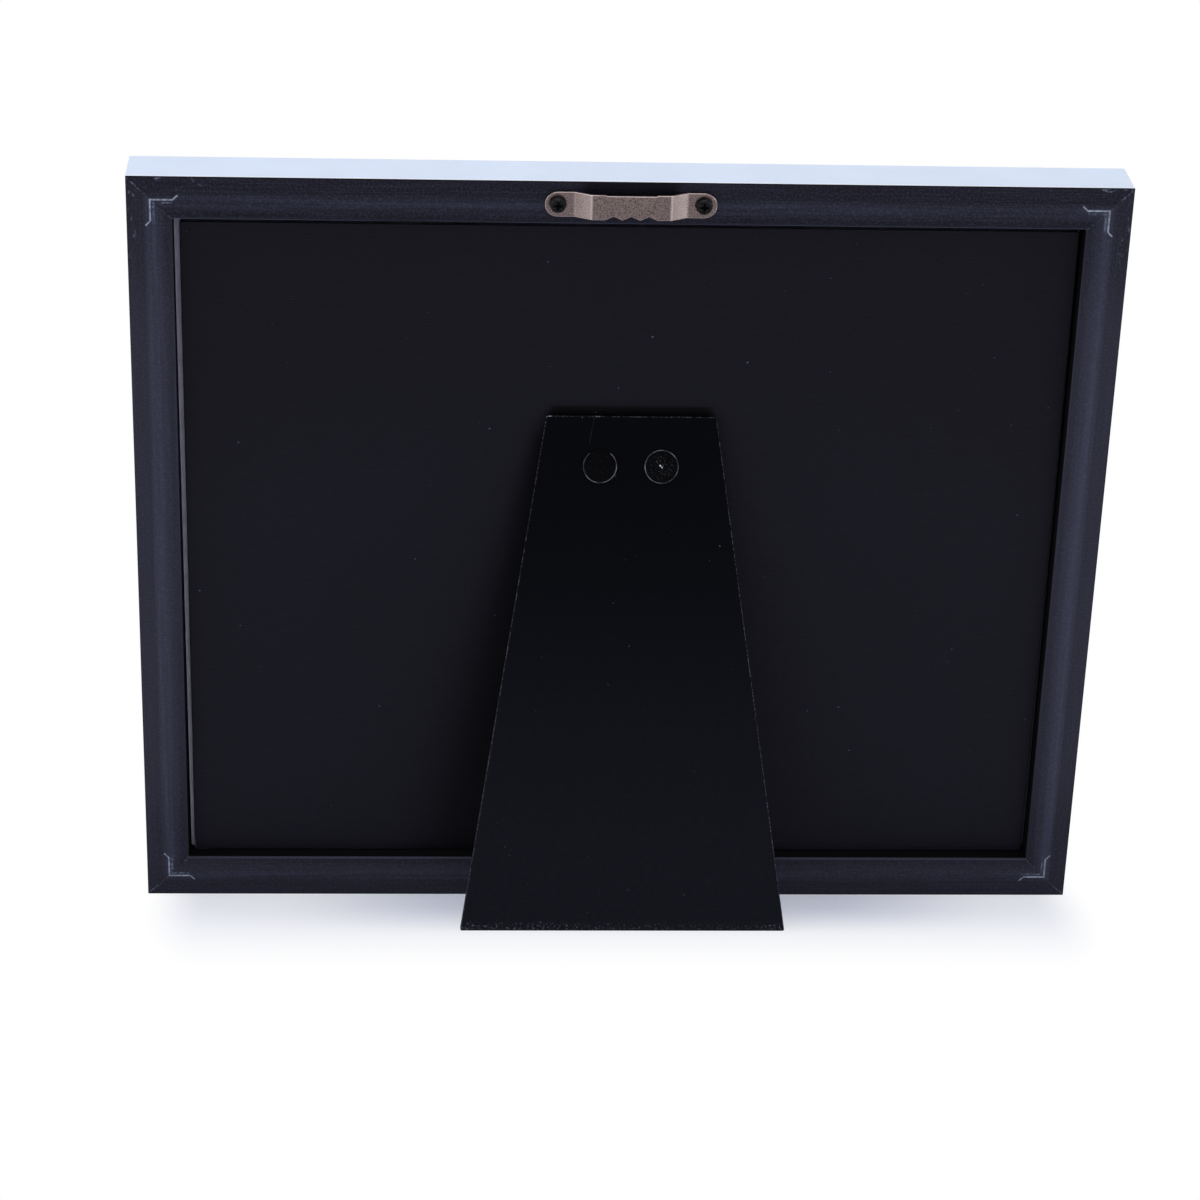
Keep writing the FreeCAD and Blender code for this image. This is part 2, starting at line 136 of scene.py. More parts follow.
PANEL = find_panel()
LEG_SEAT = find_leg_seat()
PIN = PANEL.inverted() @ LEG_SEAT.translation

# Outer size of the moulding, and the turn that brings the bottom rail's frame to each side
panel_low, panel_high = node_box("bottom_rail", PANEL)
OUTER_WIDTH = panel_high.x - panel_low.x
OUTER_HEIGHT = node_box("top_rail", PANEL)[1].y
SIDES = {"bottom": 0, "left": 1, "top": 2, "right": 3}
CORNERS = {"bottom_right": 0, "bottom_left": 1, "top_left": 2, "top_right": 3}


def side_frame(quarter_turns):
    """Frame of one side: X along it, Y inwards from its outer edge, with the side's length."""
    upright = quarter_turns % 2
    length = OUTER_HEIGHT if upright else OUTER_WIDTH
    reach = OUTER_WIDTH / 2 if upright else OUTER_HEIGHT / 2
    turn = Matrix.Rotation(quarter_turns * math.pi / 2, 4, "Z")
    centre = Matrix.Translation((0, OUTER_HEIGHT / 2, 0))
    return PANEL @ centre @ turn @ Matrix.Translation((0, -reach, 0)), length


def corner_frame(quarter_turns):
    """Frame of one corner: origin at the outer corner, with rails along +X and +Y."""
    seat, length = side_frame(quarter_turns)
    return seat @ Matrix.Translation((-length / 2, 0, 0))


# Settings that a user would change


def size(name, description, default):
    """A length in metres."""
    return bpy.props.FloatProperty(
        name=name, description=description, default=default, min=0, unit="LENGTH", precision=5)


def share(name, description, default):
    """A share from 0 to 1."""
    return bpy.props.FloatProperty(
        name=name, description=description, default=default, min=0, max=1, subtype="FACTOR")


def colour(name, description, default):
    """A colour, whose default is given as a screen shows it."""
    return bpy.props.FloatVectorProperty(
        name=name, description=description, default=shade(*default), min=0, max=1, subtype="COLOR")


class MouldingSettings(bpy.types.PropertyGroup):
    """Moulding, foil and mitre nails."""

    back_width: size("Back width", "Width of a rail behind, from its outer side to the rabbet", 0.0125)
    crest_offset: size("Crest offset", "Distance of the crest's middle from the outer side", 0.0071)
    crest_half_width: size("Crest half width", "Half the width of the crest's foot", 0.0023)
    inner_drop: size("Inner drop", "Drop of the back towards the rabbet", 0.0007)
    inner_round: size("Inner rounding", "Rounding of the rabbet's edge", 0.00025)
    rear_round: size("Rear rounding", "Rounding of the back's outer edge", 0.00012)
    bead: size("Rear bead", "Black strip of the outer side behind the foil", 0.0006)
    face_fall: size("Face fall", "Fall of the face from its outer edge to the sight edge", 0.0015)
    face_round: size("Face rounding", "Rounding of the face's outer edge", 0.0016)
    sight_round: size("Sight rounding", "Rounding of the sight edge", 0.0010)
    foil: size("Foil", "Thickness of the foil", 0.0003)
    lip_gap: size("Lip gap", "Gap between the glass and the lip", 0.0001)
    mitre_ease: size("Mitre easing", "Worn edge along each mitre", 0.00009)
    nail_sheet: size("Nail sheet", "Thickness of a mitre nail", 0.0005)
    nail_offset: size("Nail offset", "Distance of a nail's legs from the outer sides", 0.0066)
    nail_end: size("Nail end", "Distance from the outer sides at which a nail's hooks start", 0.0129)
    nail_hook: size("Nail hook", "Length of the hooked ends of a nail", 0.0019)
    nail_stand: size("Nail stand", "How far a nail stands over the crest", 0.00005)
    nail_edge: size("Nail edge", "Rounding of a nail's edges", 0.00008)
    core_colour: colour("Core", "Black of the level rails", (29, 27, 38))
    # Painted light: a lighter black for the uprights' lengthwise sheen and for the floor's light on the
    # bottom rail
    painted_light_colour: colour("Uprights", "Lighter black of the upright rails", (51, 50, 62))
    # Rubbed lighter, and the colour of the painted sheen on the crest and the painted highlight on the
    # rabbet's edge
    rub_and_sheen_colour: colour("Rubbed", "Where the moulding is rubbed lighter", (86, 89, 111))
    stress_colour: colour("Stress marks", "Whitened marks round the nails", (150, 162, 184))
    foil_colour: colour("Foil", "Pale silver white of the foil", (210, 222, 243))
    face_colour: colour("Face", "Silver white of the foil on the face", (234, 236, 240))
    nail_colour: colour("Nail", "Galvanised steel of the nails", (156, 164, 182))


class HangerSettings(bpy.types.PropertyGroup):
    """Pressed hanger and its screws."""

    sheet: size("Sheet", "Thickness of the pressed sheet", 0.0010)
    hole_spacing: size("Hole spacing", "Distance between the screw holes", 0.0407)
    hole_diameter: size("Hole", "Diameter of a screw hole", 0.0029)
    bridge: size("Bridge", "Length of the raised bridge", 0.0224)
    slope: size("Slope", "Length of each slope down from the bridge", 0.0045)
    bend: size("Bend", "Reach of the rounding at each bend", 0.00028)
    notch_pitch: size("Notch pitch", "Distance between the notches", 0.00495)
    notch_width: size("Notch width", "Width of a notch at its mouth", 0.0048)
    notch_depth: size("Notch depth", "Depth of a notch", 0.0011)
    notch_round: size("Notch rounding", "Rounding at the bottom of a notch", 0.00015)
    tooth_round: size("Tooth rounding", "Rounding of the teeth between the notches", 0.0001)
    step: size("Step", "Depth of the long step in the upper edge", 0.00025)
    step_length: size("Step length", "Length of the step in the upper edge", 0.0144)
    rim: size("Rim", "Rounding of the sheet's edges", 0.00022)
    dimple: size("Dimple", "Depth of the pressed seat round each screw", 0.00018)
    dimple_radius: size("Dimple radius", "Radius of the pressed seat", 0.0029)
    dimple_slope: share("Dimple slope", "Radius of the pressed seat's floor, as a share of the whole", 0.86)
    nickel_colour: colour("Nickel", "Dull nickel of the hanger", (142, 124, 119))
    speck_colour: colour("Specks", "Dark specks in the nickel", (82, 70, 68))
    # Colour of the painted highlights on the hanger's rims, bends and slopes, which are partly burnished
    highlight_and_burnish_colour: colour("Bright edges", "Burnished edges of the hanger", (236, 222, 220))
    screw_colour: colour("Screw", "Black finish of the screws", (15, 16, 20))
    drive_span: size("Drive span", "Length of the cross recess", 0.0025)
    drive_slot: size("Drive slot", "Width of the cross recess", 0.00065)
    drive_depth: size("Drive depth", "Depth of the cross recess", 0.0008)
    drive_taper: share("Drive taper", "Size of the recess at its floor, as a share of its mouth", 0.72)
    head_round: size("Head rounding", "Rounding of the screw head", 0.0007)
    shank: size("Shank", "Diameter of the screw shank", 0.0023)


class BackingSettings(bpy.types.PropertyGroup):
    """Glass, print, card and backing board."""

    corner: size("Corner", "Rounding of the card's and the board's corners", 0.0008)
    glass_corner: size("Glass corner", "Rounding of the glass's corners", 0.0006)
    card_edge: size("Card edge", "Rounding of the card's edges", 0.00015)
    board_edge: size("Board edge", "Rounding of the board's edges", 0.0003)
    glass_edge: size("Glass edge", "Ground edge of the glass", 0.0003)
    rib_pitch: size("Rib pitch", "Pitch of the fine ribs in the board's paper", 0.0009)
    board_colour: colour("Board", "Black ribbed paper of the board", (33, 32, 42))
    dust_colour: colour("Dust", "Dust on the board", (120, 125, 150))
    card_colour: colour("Card", "Grey card under the board", (224, 221, 242))
    card_turn: bpy.props.FloatProperty(
        name="Card turn", description="Small turn of the card in the rabbet", default=math.radians(0.14),
        subtype="ANGLE")
    card_ease: size("Card ease", "How far the card's left and right edges lie past their place", 0.0001)
    paper_colour: colour("Paper", "Bare print", (244, 243, 240))
    glass_colour: colour("Glass", "Tint of the glass", (252, 254, 253))


class StrutSettings(bpy.types.PropertyGroup):
    """Leg, hinge and rivets."""

    leg_corner: size("Leg corner", "Rounding of the leg's corners", 0.0006)
    leg_edge: size("Leg edge", "Rounding of the leg's edges", 0.0003)
    leaf_sheet: size("Leaf sheet", "Thickness of a hinge leaf", 0.0006)
    leaf_corner: size("Leaf corner", "Rounding of a leaf's corners", 0.0020)
    leaf_edge: size("Leaf edge", "Rounding of a leaf's edges", 0.0001)
    knuckle_width: size("Knuckle width", "Width of the leg leaf's knuckle", 0.0090)
    knuckle_gap: size("Knuckle gap", "Gap beside each knuckle", 0.0002)
    shank: size("Rivet shank", "Diameter of the rivets' shanks", 0.0030)
    hole_play: size("Hole play", "Play of a rivet in its hole, all round", 0.0001)
    tail: size("Rivet tail", "Diameter of the clinched tails", 0.0050)
    tail_height: size("Tail height", "Height of the clinched tails", 0.0004)
    rim: size("Rivet rim", "Width of the rim round a leg rivet's head", 0.0007)
    dish: size("Rivet dish", "Depth of a leg rivet's head inside its rim", 0.00025)
    pin_round: share("Pin rounding", "Rounding of the pin's ends, as a share of its radius", 0.4)
    leg_colour: colour("Leg", "Black paper of the leg", (8, 9, 14))
    # Painted light: the leg's black lighter towards the foot, where the floor's light falls
    foot_light_colour: colour("Handled foot", "Black paper towards the foot, dulled by handling", (30, 31, 38))
    worn_colour: colour("Worn edge", "Card that shows where the leg's edges are worn", (104, 107, 116))
    chip_colour: colour("Chips", "Bare card where the leg's top edge is chipped", (170, 174, 184))
    rivet_colour: colour("Rivet", "Black paint of the rivets", (5, 5, 7))
    # Colour of the painted highlight round a rivet's rim
    ring_highlight_colour: colour("Worn ring", "Paint worn thin round a rivet's rim", (132, 134, 142))
    # Colour of the painted glint in the middle of one rivet
    painted_glint_colour: colour("Bare spot", "Bare metal in the middle of one rivet", (244, 246, 250))
    steel_colour: colour("Hinge steel", "Black painted steel of the hinge", (56, 56, 59))


class StageSettings(bpy.types.PropertyGroup):
    """Floor, light and camera."""

    floor_radius: size("Floor", "Half the side of the floor", 6.0)
    base_line: bpy.props.FloatProperty(
        name="Base line", description="Place along Y of the moulding's edge on the floor", default=-0.022,
        unit="LENGTH", precision=5)
    fade_start: size("Fade start", "Distance where the floor starts to turn white", 0.004)
    fade_end: size("Fade end", "Distance where the floor is as white as the background", 0.082)
    near_share: share("Near share", "Share of the background's white in the floor at the base line", 0.56)
    floor_colour: colour("Floor", "Bluish floor near the object, as it is seen", (211, 218, 247))
    bounce_colour: colour("Bounce", "Floor as it lights the object", (231, 233, 240))
    world_level: share("World level", "Light of the surroundings on the object", 0.2)
    mirror_share: share("Mirror share", "Share of the floor's white that gloss shows", 0.9)
    dark_reach: size("Dark reach", "Half the width of the floor that gloss shows dark", 0.1)
    light_reach: size("Light reach", "Distance from the middle where gloss shows the floor white", 0.24)
    lens: bpy.props.FloatProperty(
        name="Lens", description="Focal length in millimetres", default=104.994, min=1)
    camera_place: bpy.props.FloatVectorProperty(
        name="Camera", description="Place of the camera", subtype="TRANSLATION", unit="LENGTH",
        default=(0.061065, 1.013309, 0.282909))
    camera_turn: bpy.props.FloatVectorProperty(
        name="Camera turn", description="Direction of the camera", subtype="EULER", unit="ROTATION",
        default=[math.radians(turn) for turn in (79.57988, -0.90288, 177.02688)])


SETTINGS = {
    "photoframe_moulding": MouldingSettings,
    "photoframe_hanger": HangerSettings,
    "photoframe_backing": BackingSettings,
    "photoframe_strut": StrutSettings,
    "photoframe_stage": StageSettings,
}


# Shapes


def outline(corners):
    """Starts a shape as one flat face from (x, y, reach of the rounding) corners."""
    shape = bmesh.new()
    points = [shape.verts.new((x, y, 0)) for x, y, _ in corners]
    shape.faces.new(points)
    for point, (_, _, reach) in zip(points, corners):
        if reach > 0:
            bmesh.ops.bevel(
                shape, geom=[point], offset=reach, offset_type="OFFSET", affect="VERTICES",
                segments=CORNER_STEPS, profile=0.5, material=-1)
    bmesh.ops.remove_doubles(shape, verts=shape.verts[:], dist=WELD)
    return shape


def rectangle(low, high, reach):
    """Corners of an upright rectangle with rounded corners."""
    places = ((low.x, low.y), (high.x, low.y), (high.x, high.y), (low.x, high.y))
    return [(x, y, reach) for x, y in places]


def sheet(corners, holes=()):
    """Starts a flat sheet from (x, y, reach) corners, with (x, y, radius) holes."""
    shape = outline(corners)
    if holes:
        bmesh.ops.delete(shape, geom=shape.faces[:], context="FACES_ONLY")
        for x, y, radius in holes:
            place = Matrix.Translation((x, y, 0))
            bmesh.ops.create_circle(shape, segments=HOLE_STEPS, radius=radius, matrix=place)
        bmesh.ops.triangle_fill(shape, edges=shape.edges[:], use_beauty=True)
    return shape


def pull(shape, depth):
    """Gives a flat shape a depth along Z."""
    grown = bmesh.ops.extrude_face_region(shape, geom=shape.faces[:])["geom"]
    verts = [part for part in grown if isinstance(part, bmesh.types.BMVert)]
    bmesh.ops.translate(shape, verts=verts, vec=(0, 0, depth))
    bmesh.ops.recalc_face_normals(shape, faces=shape.faces[:])
    return shape


def ease(shape, reach, steps=3):
    """Rounds every edge where two faces meet at more than the rim angle, and marks its rim."""
    rim = shape.verts.layers.float.new("rim")
    edges = [edge for edge in shape.edges if edge.is_manifold and edge.calc_face_angle() > RIM_ANGLE]
    rounded = set(bmesh.ops.bevel(
        shape, geom=edges, offset=reach, offset_type="OFFSET", affect="EDGES",
        segments=steps, profile=0.5, material=-1, loop_slide=False)["faces"])
    for vert in shape.verts:
        vert[rim] = float(rounded.issuperset(vert.link_faces))
    return shape


def draw_in(shape, edges, middle, share_left, drop):
    """Extrudes a ring of edges towards its middle and lowers it, and returns the new ring."""
    grown = bmesh.ops.extrude_edge_only(shape, edges=edges)["geom"]
    verts = [part for part in grown if isinstance(part, bmesh.types.BMVert)]
    space = Matrix.Translation((-middle, 0, 0))
    bmesh.ops.scale(shape, verts=verts, vec=(share_left, share_left, 1), space=space)
    bmesh.ops.translate(shape, verts=verts, vec=(0, 0, -drop))
    return [part for part in grown if isinstance(part, bmesh.types.BMEdge) and part.is_boundary]


def thicken(shape, depth, facing):
    """Turns the faces of an open sheet to face one way, and gives it a thickness behind them."""
    bmesh.ops.recalc_face_normals(shape, faces=shape.faces[:])
    widest = max(shape.faces, key=lambda face: face.calc_area())
    if widest.normal.z * facing < 0:
        bmesh.ops.reverse_faces(shape, faces=shape.faces[:])
    bmesh.ops.solidify(shape, geom=shape.faces[:], thickness=depth)
    bmesh.ops.recalc_face_normals(shape, faces=shape.faces[:])
    return shape


def turned(profile):
    """Makes a turned shape about Z from (radius, z) points."""
    shape = bmesh.new()
    points = [shape.verts.new((radius, 0, z)) for radius, z in profile]
    edges = [shape.edges.new(pair) for pair in zip(points, points[1:])]
    bmesh.ops.spin(
        shape, geom=points + edges, cent=(0, 0, 0), axis=(0, 0, 1), dvec=(0, 0, 0),
        angle=2 * math.pi, steps=TURN_STEPS, use_merge=True)
    bmesh.ops.remove_doubles(shape, verts=shape.verts[:], dist=WELD)
    bmesh.ops.recalc_face_normals(shape, faces=shape.faces[:])
    return shape


def arc(centre_x, centre_z, radius, start, end, steps):
    """Points of an arc in a profile, between two angles in degrees."""
    turns = [math.radians(start + (end - start) * step / steps) for step in range(steps + 1)]
    return [(centre_x + radius * math.cos(turn), centre_z + radius * math.sin(turn)) for turn in turns]


def piece(shape, name, seat, body, finish, nodes):
    """Turns a shape into a piece of the frame: placed, shaded, given its finish and its body."""
    shape.transform(seat)
    mesh = bpy.data.meshes.new(name)
    shape.to_mesh(mesh)
    shape.free()
    mesh.shade_smooth()
    mesh.set_sharp_from_angle(angle=SHARP_ANGLE)
    mesh.materials.append(finish)
    made = bpy.data.objects.new(name, mesh)
    bpy.context.scene.collection.objects.link(made)
    made.modifiers.new("even_shading", "WEIGHTED_NORMAL").keep_sharp = True
    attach(made, body)
    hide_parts(*nodes)
    return made


# Finishes


class Value:
    """One output of a node. Arithmetic on it adds Math nodes."""

    def __init__(self, nodes, socket):
        self.nodes = nodes
        self.socket = socket

    def output(self, index):
        """Another output of the same node."""
        return Value(self.nodes, self.socket.node.outputs[index])

    def math(self, operation, *others):
        """Adds a Math node."""
        return self.nodes.node("ShaderNodeMath", {"operation": operation}, [self, *others])

    def __add__(self, other):
        return self.math("ADD", other)

    def __radd__(self, other):
        return self.math("ADD", other)

    def __sub__(self, other):
        return self.math("SUBTRACT", other)

    def __rsub__(self, other):
        return self.nodes.node("ShaderNodeMath", {"operation": "SUBTRACT"}, [other, self])

    def __mul__(self, other):
        return self.math("MULTIPLY", other)

    def __rmul__(self, other):
        return self.math("MULTIPLY", other)

    def __abs__(self):
        return self.math("ABSOLUTE")

    def __gt__(self, other):
        return self.math("GREATER_THAN", other)

    def least(self, other):
        """The smaller of two values."""
        return self.math("MINIMUM", other)

    def most(self, other):
        """The larger of two values."""
        return self.math("MAXIMUM", other)

    def fade(self, start, end):
        """Smooth step from 0 at the start to 1 at the end, which may lie either way."""
        settings = {"interpolation_type": "SMOOTHSTEP"}
        return self.nodes.node("ShaderNodeMapRange", settings, [self, start, end])

    def around(self, middle, spread):
        """Noise around 0.5 turned into noise around a middle, times a spread."""
        return (self - 0.5) * spread + middle

    def parts(self):
        """The three parts of a vector."""
        split = self.nodes.node("ShaderNodeSeparateXYZ", {}, [self])
        return [split.output(index) for index in range(3)]


def hypotenuse(x, y):
    """Distance of a point from the origin."""
    return (x * x + y * y).math("SQRT")


class Nodes:
    """A node tree, with one method that adds any node."""

    def __init__(self, tree):
        self.tree = tree

    def node(self, kind, settings, inputs, output=0):
        """Adds a node: settings first, then the value or link of each socket, by place or name."""
        made = self.tree.nodes.new(kind)
        for name, value in settings.items():
            setattr(made, name, value)
        pairs = inputs.items() if isinstance(inputs, dict) else enumerate(inputs)
        for key, value in pairs:
            if isinstance(value, Value):
                self.tree.links.new(value.socket, made.inputs[key])
            else:
                made.inputs[key].default_value = value
        return Value(self, made.outputs[output])

    def local(self, seat):
        """Object coordinates in metres, measured in a working frame."""
        place = self.node("ShaderNodeTexCoord", {}, {}, 3)
        inputs = {"Vector": place, "Location": seat.translation, "Rotation": seat.to_euler()}
        return self.node("ShaderNodeMapping", {"vector_type": "TEXTURE"}, inputs)

    def vector(self, x, y, z):
        """A vector from three values."""
        return self.node("ShaderNodeCombineXYZ", {}, [x, y, z])

    def noise(self, place, scale, detail=2.0, roughness=0.5):
        """Noise around 0.5, whose scale is in turns per metre."""
        inputs = {"Vector": place, "Scale": scale, "Detail": detail, "Roughness": roughness}
        return self.node("ShaderNodeTexNoise", {}, inputs)

    def stretched(self, parts, scales, detail=2.0, roughness=0.5):
        """Noise with its own scale, in turns per metre, along each of three values."""
        place = self.vector(*[part * scale for part, scale in zip(parts, scales)])
        return self.noise(place, 1.0, detail, roughness)

    def mix(self, factor, first, second):
        """Mixes two colours."""
        inputs = {0: factor, 6: opaque(first), 7: opaque(second)}
        return self.node("ShaderNodeMix", {"data_type": "RGBA"}, inputs, 2)

    def layers(self, base, *coats):
        """Lays coats over a colour, each given as how far it shows and its colour."""
        for shown, tone in coats:
            base = self.mix(shown, base, tone)
        return base

    def rays(self):
        """Whether a ray comes from the camera, from gloss or through glass."""
        is_camera = self.node("ShaderNodeLightPath", {}, {})
        return is_camera, is_camera.output(3), is_camera.output(6)

    def mark(self, name):
        """A mark from 0 to 1 that a piece carries, such as its rim."""
        return self.node("ShaderNodeAttribute", {"attribute_name": name}, {}, 2)


def opaque(value):
    """A colour with its fourth part, or a link as it is."""
    if isinstance(value, Value):
        return value
    return (*value, 1.0)


class Finish(Nodes):
    """A material of the object, with one main shader."""

    def __init__(self, name, constants):
        self.material = bpy.data.materials.new(name)
        self.material.use_nodes = True
        super().__init__(self.material.node_tree)
        self.shader = self.tree.nodes["Principled BSDF"]
        for socket, value in constants.items():
            self.shader.inputs[socket].default_value = value

    def surface(self, **links):
        """Links values to the shader's sockets, whose names are written with underscores."""
        for name, value in links.items():
            self.tree.links.new(value.socket, self.shader.inputs[name.replace("_", " ")])
        return self.material

    def coat(self, base, rough, height, depth, strength):
        """Links a colour, a roughness and a bump, whose height is times a depth in metres."""
        bumped = {"Strength": strength, "Distance": depth, "Height": height}
        bump = self.node("ShaderNodeBump", {}, bumped)
        return self.surface(Base_Color=base, Roughness=rough, Normal=bump)


def rail_place(finish):
    """Place on the rails: in the panel, from the outer sides, and along and over each rail."""
    place = finish.local(PANEL)
    across, up, out = place.parts()
    upright = OUTER_WIDTH / 2 - abs(across)
    level = OUTER_HEIGHT / 2 - abs(up - OUTER_HEIGHT / 2)
    is_level = upright > level
    run = (up + (across - up) * is_level, across + (up - across) * is_level, is_level)
    return SimpleNamespace(
        place=place, across=across, up=up, out=out, upright=upright, level=level, is_level=is_level,
        run=run, inward=upright.least(level), from_end=upright.most(level))


def nail_distance(rail, start, end):
    """Distance from an angle of two lines that run from each corner's start to their end."""
    upright, level = rail.upright, rail.level
    first = abs(upright - start).most(start - level).most(level - end)
    second = abs(level - start).most(start - upright).most(upright - end)
    return first.least(second)


def rail_painted_light(rail):
    """Painted light: the uprights lighter away from their ends for their lengthwise sheen, and the bottom
    rail lighter for the floor's light.
    """
    end_reach, end_share = (0.012, 0.05), 0.35
    foot_reach, foot_share = (0.03, 0.02), 0.5
    upright = (1 - rail.is_level) * (end_share + (1 - end_share) * rail.from_end.fade(*end_reach))
    return upright.most(rail.up.fade(*foot_reach) * foot_share)


def rail_rubs_and_sheen(sizes, rail, streaks, broad, grit):
    """How far the back is lighter: rubbed in grit and lengthwise streaks, with a painted sheen over its
    crest that is weaker on the level rails and stronger on the right.
    """
    crest_outside, crest_inside = (0.0042, 0.0066), (0.0112, 0.0066)
    crest_share, level_loss, broad_share, right_share = 0.19, 0.09, 0.12, 0.08
    right_reach, grit_share, streak_share = (0.12, 0.13), 0.26, 0.12
    pale_reach, pale_end, pale_share, pale_loss = (0.0018, 0.0003), (0.07, 0.015), 0.7, 0.5
    # Painted sheen over the crest, weaker on the level rails and stronger at the right, with random broad
    # patches
    crest = rail.inward.fade(*crest_outside) * rail.inward.fade(*crest_inside)
    patchy = broad_share * broad.fade(0.4, 0.65) + right_share * rail.across.fade(*right_reach)
    rubbed = crest * (crest_share - level_loss * rail.is_level + patchy)
    rubbed = rubbed + grit.fade(0.46, 0.66) * grit_share + streaks.fade(0.48, 0.66) * streak_share
    # Painted sheen along the top of the crest, weaker on the level rails
    top = abs(rail.inward - sizes.crest_offset).fade(*pale_reach)
    pale = top * streaks.fade(0.5, 0.66) * rail.from_end.fade(*pale_end)
    return rubbed.most(pale * (pale_share - pale_loss * rail.is_level))


def rail_stress(finish, sizes, rail, streaks, grit):
    """How far the black is whitened: round the nails, along the mitres and at the upper corners."""
    halo_offset, halo_reach, halo_share = 0.0004, (0.0012, 0.0002), 0.25
    twin_offset, twin_loss, twin_reach, twin_share = 0.0009, 0.0006, (0.00042, 0.00015), 0.4
    mitre_reach, mitre_share = (0.00040, 0.00012), 0.12
    outer_reach, outer_share = (0.0046, 0.0024), 0.7
    inner_reach, inner_share = (0.0102, 0.0118), 0.25
    rub_edge, rub_end, rub_height, rub_share = (0.0042, 0.0012), (0.030, 0.010), (0.1, 0.2), 0.5
    ragged = finish.noise(rail.place, 900.0, 3.0, 0.6)
    scuff = finish.stretched(rail.run, (260.0, 620.0, 3.0), 3.0, 0.7)
    start, end = sizes.nail_offset, sizes.nail_end
    halo = nail_distance(rail, start + halo_offset, end).fade(*halo_reach) * halo_share
    twin = nail_distance(rail, start + twin_offset, end - twin_loss).fade(*twin_reach) * twin_share
    stress = (halo * streaks.fade(0.45, 0.75)).most(twin * ragged.fade(0.42, 0.6))
    chipped = rail.inward.fade(*outer_reach) * outer_share + rail.inward.fade(*inner_reach) * inner_share
    mitre = abs(rail.upright - rail.level).fade(*mitre_reach) * (chipped + mitre_share)
    rubs = scuff.fade(0.58, 0.7) * rail.inward.fade(*rub_edge) * rail.from_end.fade(*rub_end)
    rubs = rubs * rail.up.fade(*rub_height) * rub_share
    return stress.most(mitre * grit.fade(0.48, 0.60)).most(rubs)


def hanger_shade(rail):
    """Soft shade on the top rail, over the hanger's bridge."""
    half_width, above, middle_height = (0.0145, 0.0115), (0.0034, 0.0018), 0.0002
    low, high = node_box("sawtooth_hanger", PANEL)
    aside = abs(rail.across - (low.x + high.x) / 2)
    return aside.fade(*half_width) * abs(rail.up - high.y - middle_height).fade(*above)


def moulding_finish(sizes):
    """Black moulding with lengthwise streaks, a rubbed crest with a painted sheen, and whitened marks at the
    nails; with painted light on the uprights and the bottom rail, a painted highlight on the rabbet's edge,
    and painted shade over the hanger, towards the rabbet, on the rabbet's walls and on the rear bead.
    """
    inner_reach, inner_share, inner_shade_level = (0.0100, 0.0112), 0.18, 0.5
    edge_highlight_reach, edge_share, edge_gain = (0.01205, 0.01225), 0.1, 0.3
    shade_share, shade_level = 0.6, 0.06
    wall_shade_depth, bead_shade_side = (-0.0011, -0.0015), (0.00014, 0.00004)
    finish = Finish("moulding_core", {"Specular IOR Level": 0.08})
    rail = rail_place(finish)
    streaks = finish.stretched(rail.run, (22.0, 3400.0, 9.0), 3.0, 0.6)
    broad = finish.stretched(rail.run, (12.0, 700.0, 5.0))
    grit = finish.noise(rail.place, 1600.0, 3.0, 0.8)
    stress = rail_stress(finish, sizes, rail, streaks, grit)
    # Painted highlight along the rabbet's edge, brighter on the level rails, in the rubbed and sheen colour
    edge = rail.inward.fade(*edge_highlight_reach) * (edge_share + edge_gain * rail.is_level) * broad.fade(0.25, 0.5)
    # Painted shade: the rabbet's walls and the rail's deeper parts, and the rear bead of the outer side,
    # darkened nearly to black
    wall_and_bead_shade = rail.out.fade(*wall_shade_depth).most(rail.inward.fade(*bead_shade_side))
    # Near black for the painted shade over the hanger, on the rabbet's walls and on the rear bead
    black = darker(sizes.core_colour, shade_level)
    base = finish.layers(
        # Painted light on the uprights and the bottom rail
        sizes.core_colour, (rail_painted_light(rail), sizes.painted_light_colour),
        (rail_rubs_and_sheen(sizes, rail, streaks, broad, grit), sizes.rub_and_sheen_colour),
        # Painted shade on the inner strip, where the back falls towards the rabbet
        (rail.inward.fade(*inner_reach) * inner_share, darker(sizes.core_colour, inner_shade_level)),
        (edge, sizes.rub_and_sheen_colour), (stress, sizes.stress_colour),
        (hanger_shade(rail) * shade_share, black), (wall_and_bead_shade, black))
    rough = streaks.around(0.5, 0.14) + stress * 0.2 + wall_and_bead_shade * 0.45
    return finish.coat(base, rough, streaks * 0.5 + grit * 0.4 + stress * 0.4, 0.00004, 0.8)


def foil_finish(sizes):
    """Pale silver white foil with a faint cloudiness, fine lengthwise lines and a painted highlight along
    its rear edge.
    """
    cloud_share, line_share, cloud_level = 0.6, 0.2, 0.95
    rear_reach, rear_highlight_share = (-0.0014, -0.0008), 0.5
    face_reach, face_share = (0.0002, 0.0012), 0.7
    finish = Finish("moulding_foil", {"Specular IOR Level": 0.5, "Metallic": 0.15})
    rail = rail_place(finish)
    lines = finish.stretched((*rail.run[:2], rail.out), (12.0, 2600.0, 2600.0))
    clouds = finish.noise(rail.place, 60.0, 2.0).fade(0.35, 0.65) * cloud_share + lines * line_share
    base = finish.layers(
        sizes.foil_colour, (clouds, darker(sizes.foil_colour, cloud_level)),
        # Painted highlight along the foil's rounded rear edge
        (rail.out.fade(*rear_reach) * rear_highlight_share, WHITE),
        (rail.inward.fade(*face_reach) * face_share, sizes.face_colour))
    return finish.coat(base, lines.around(0.34, 0.1), lines, 0.00001, 0.5)


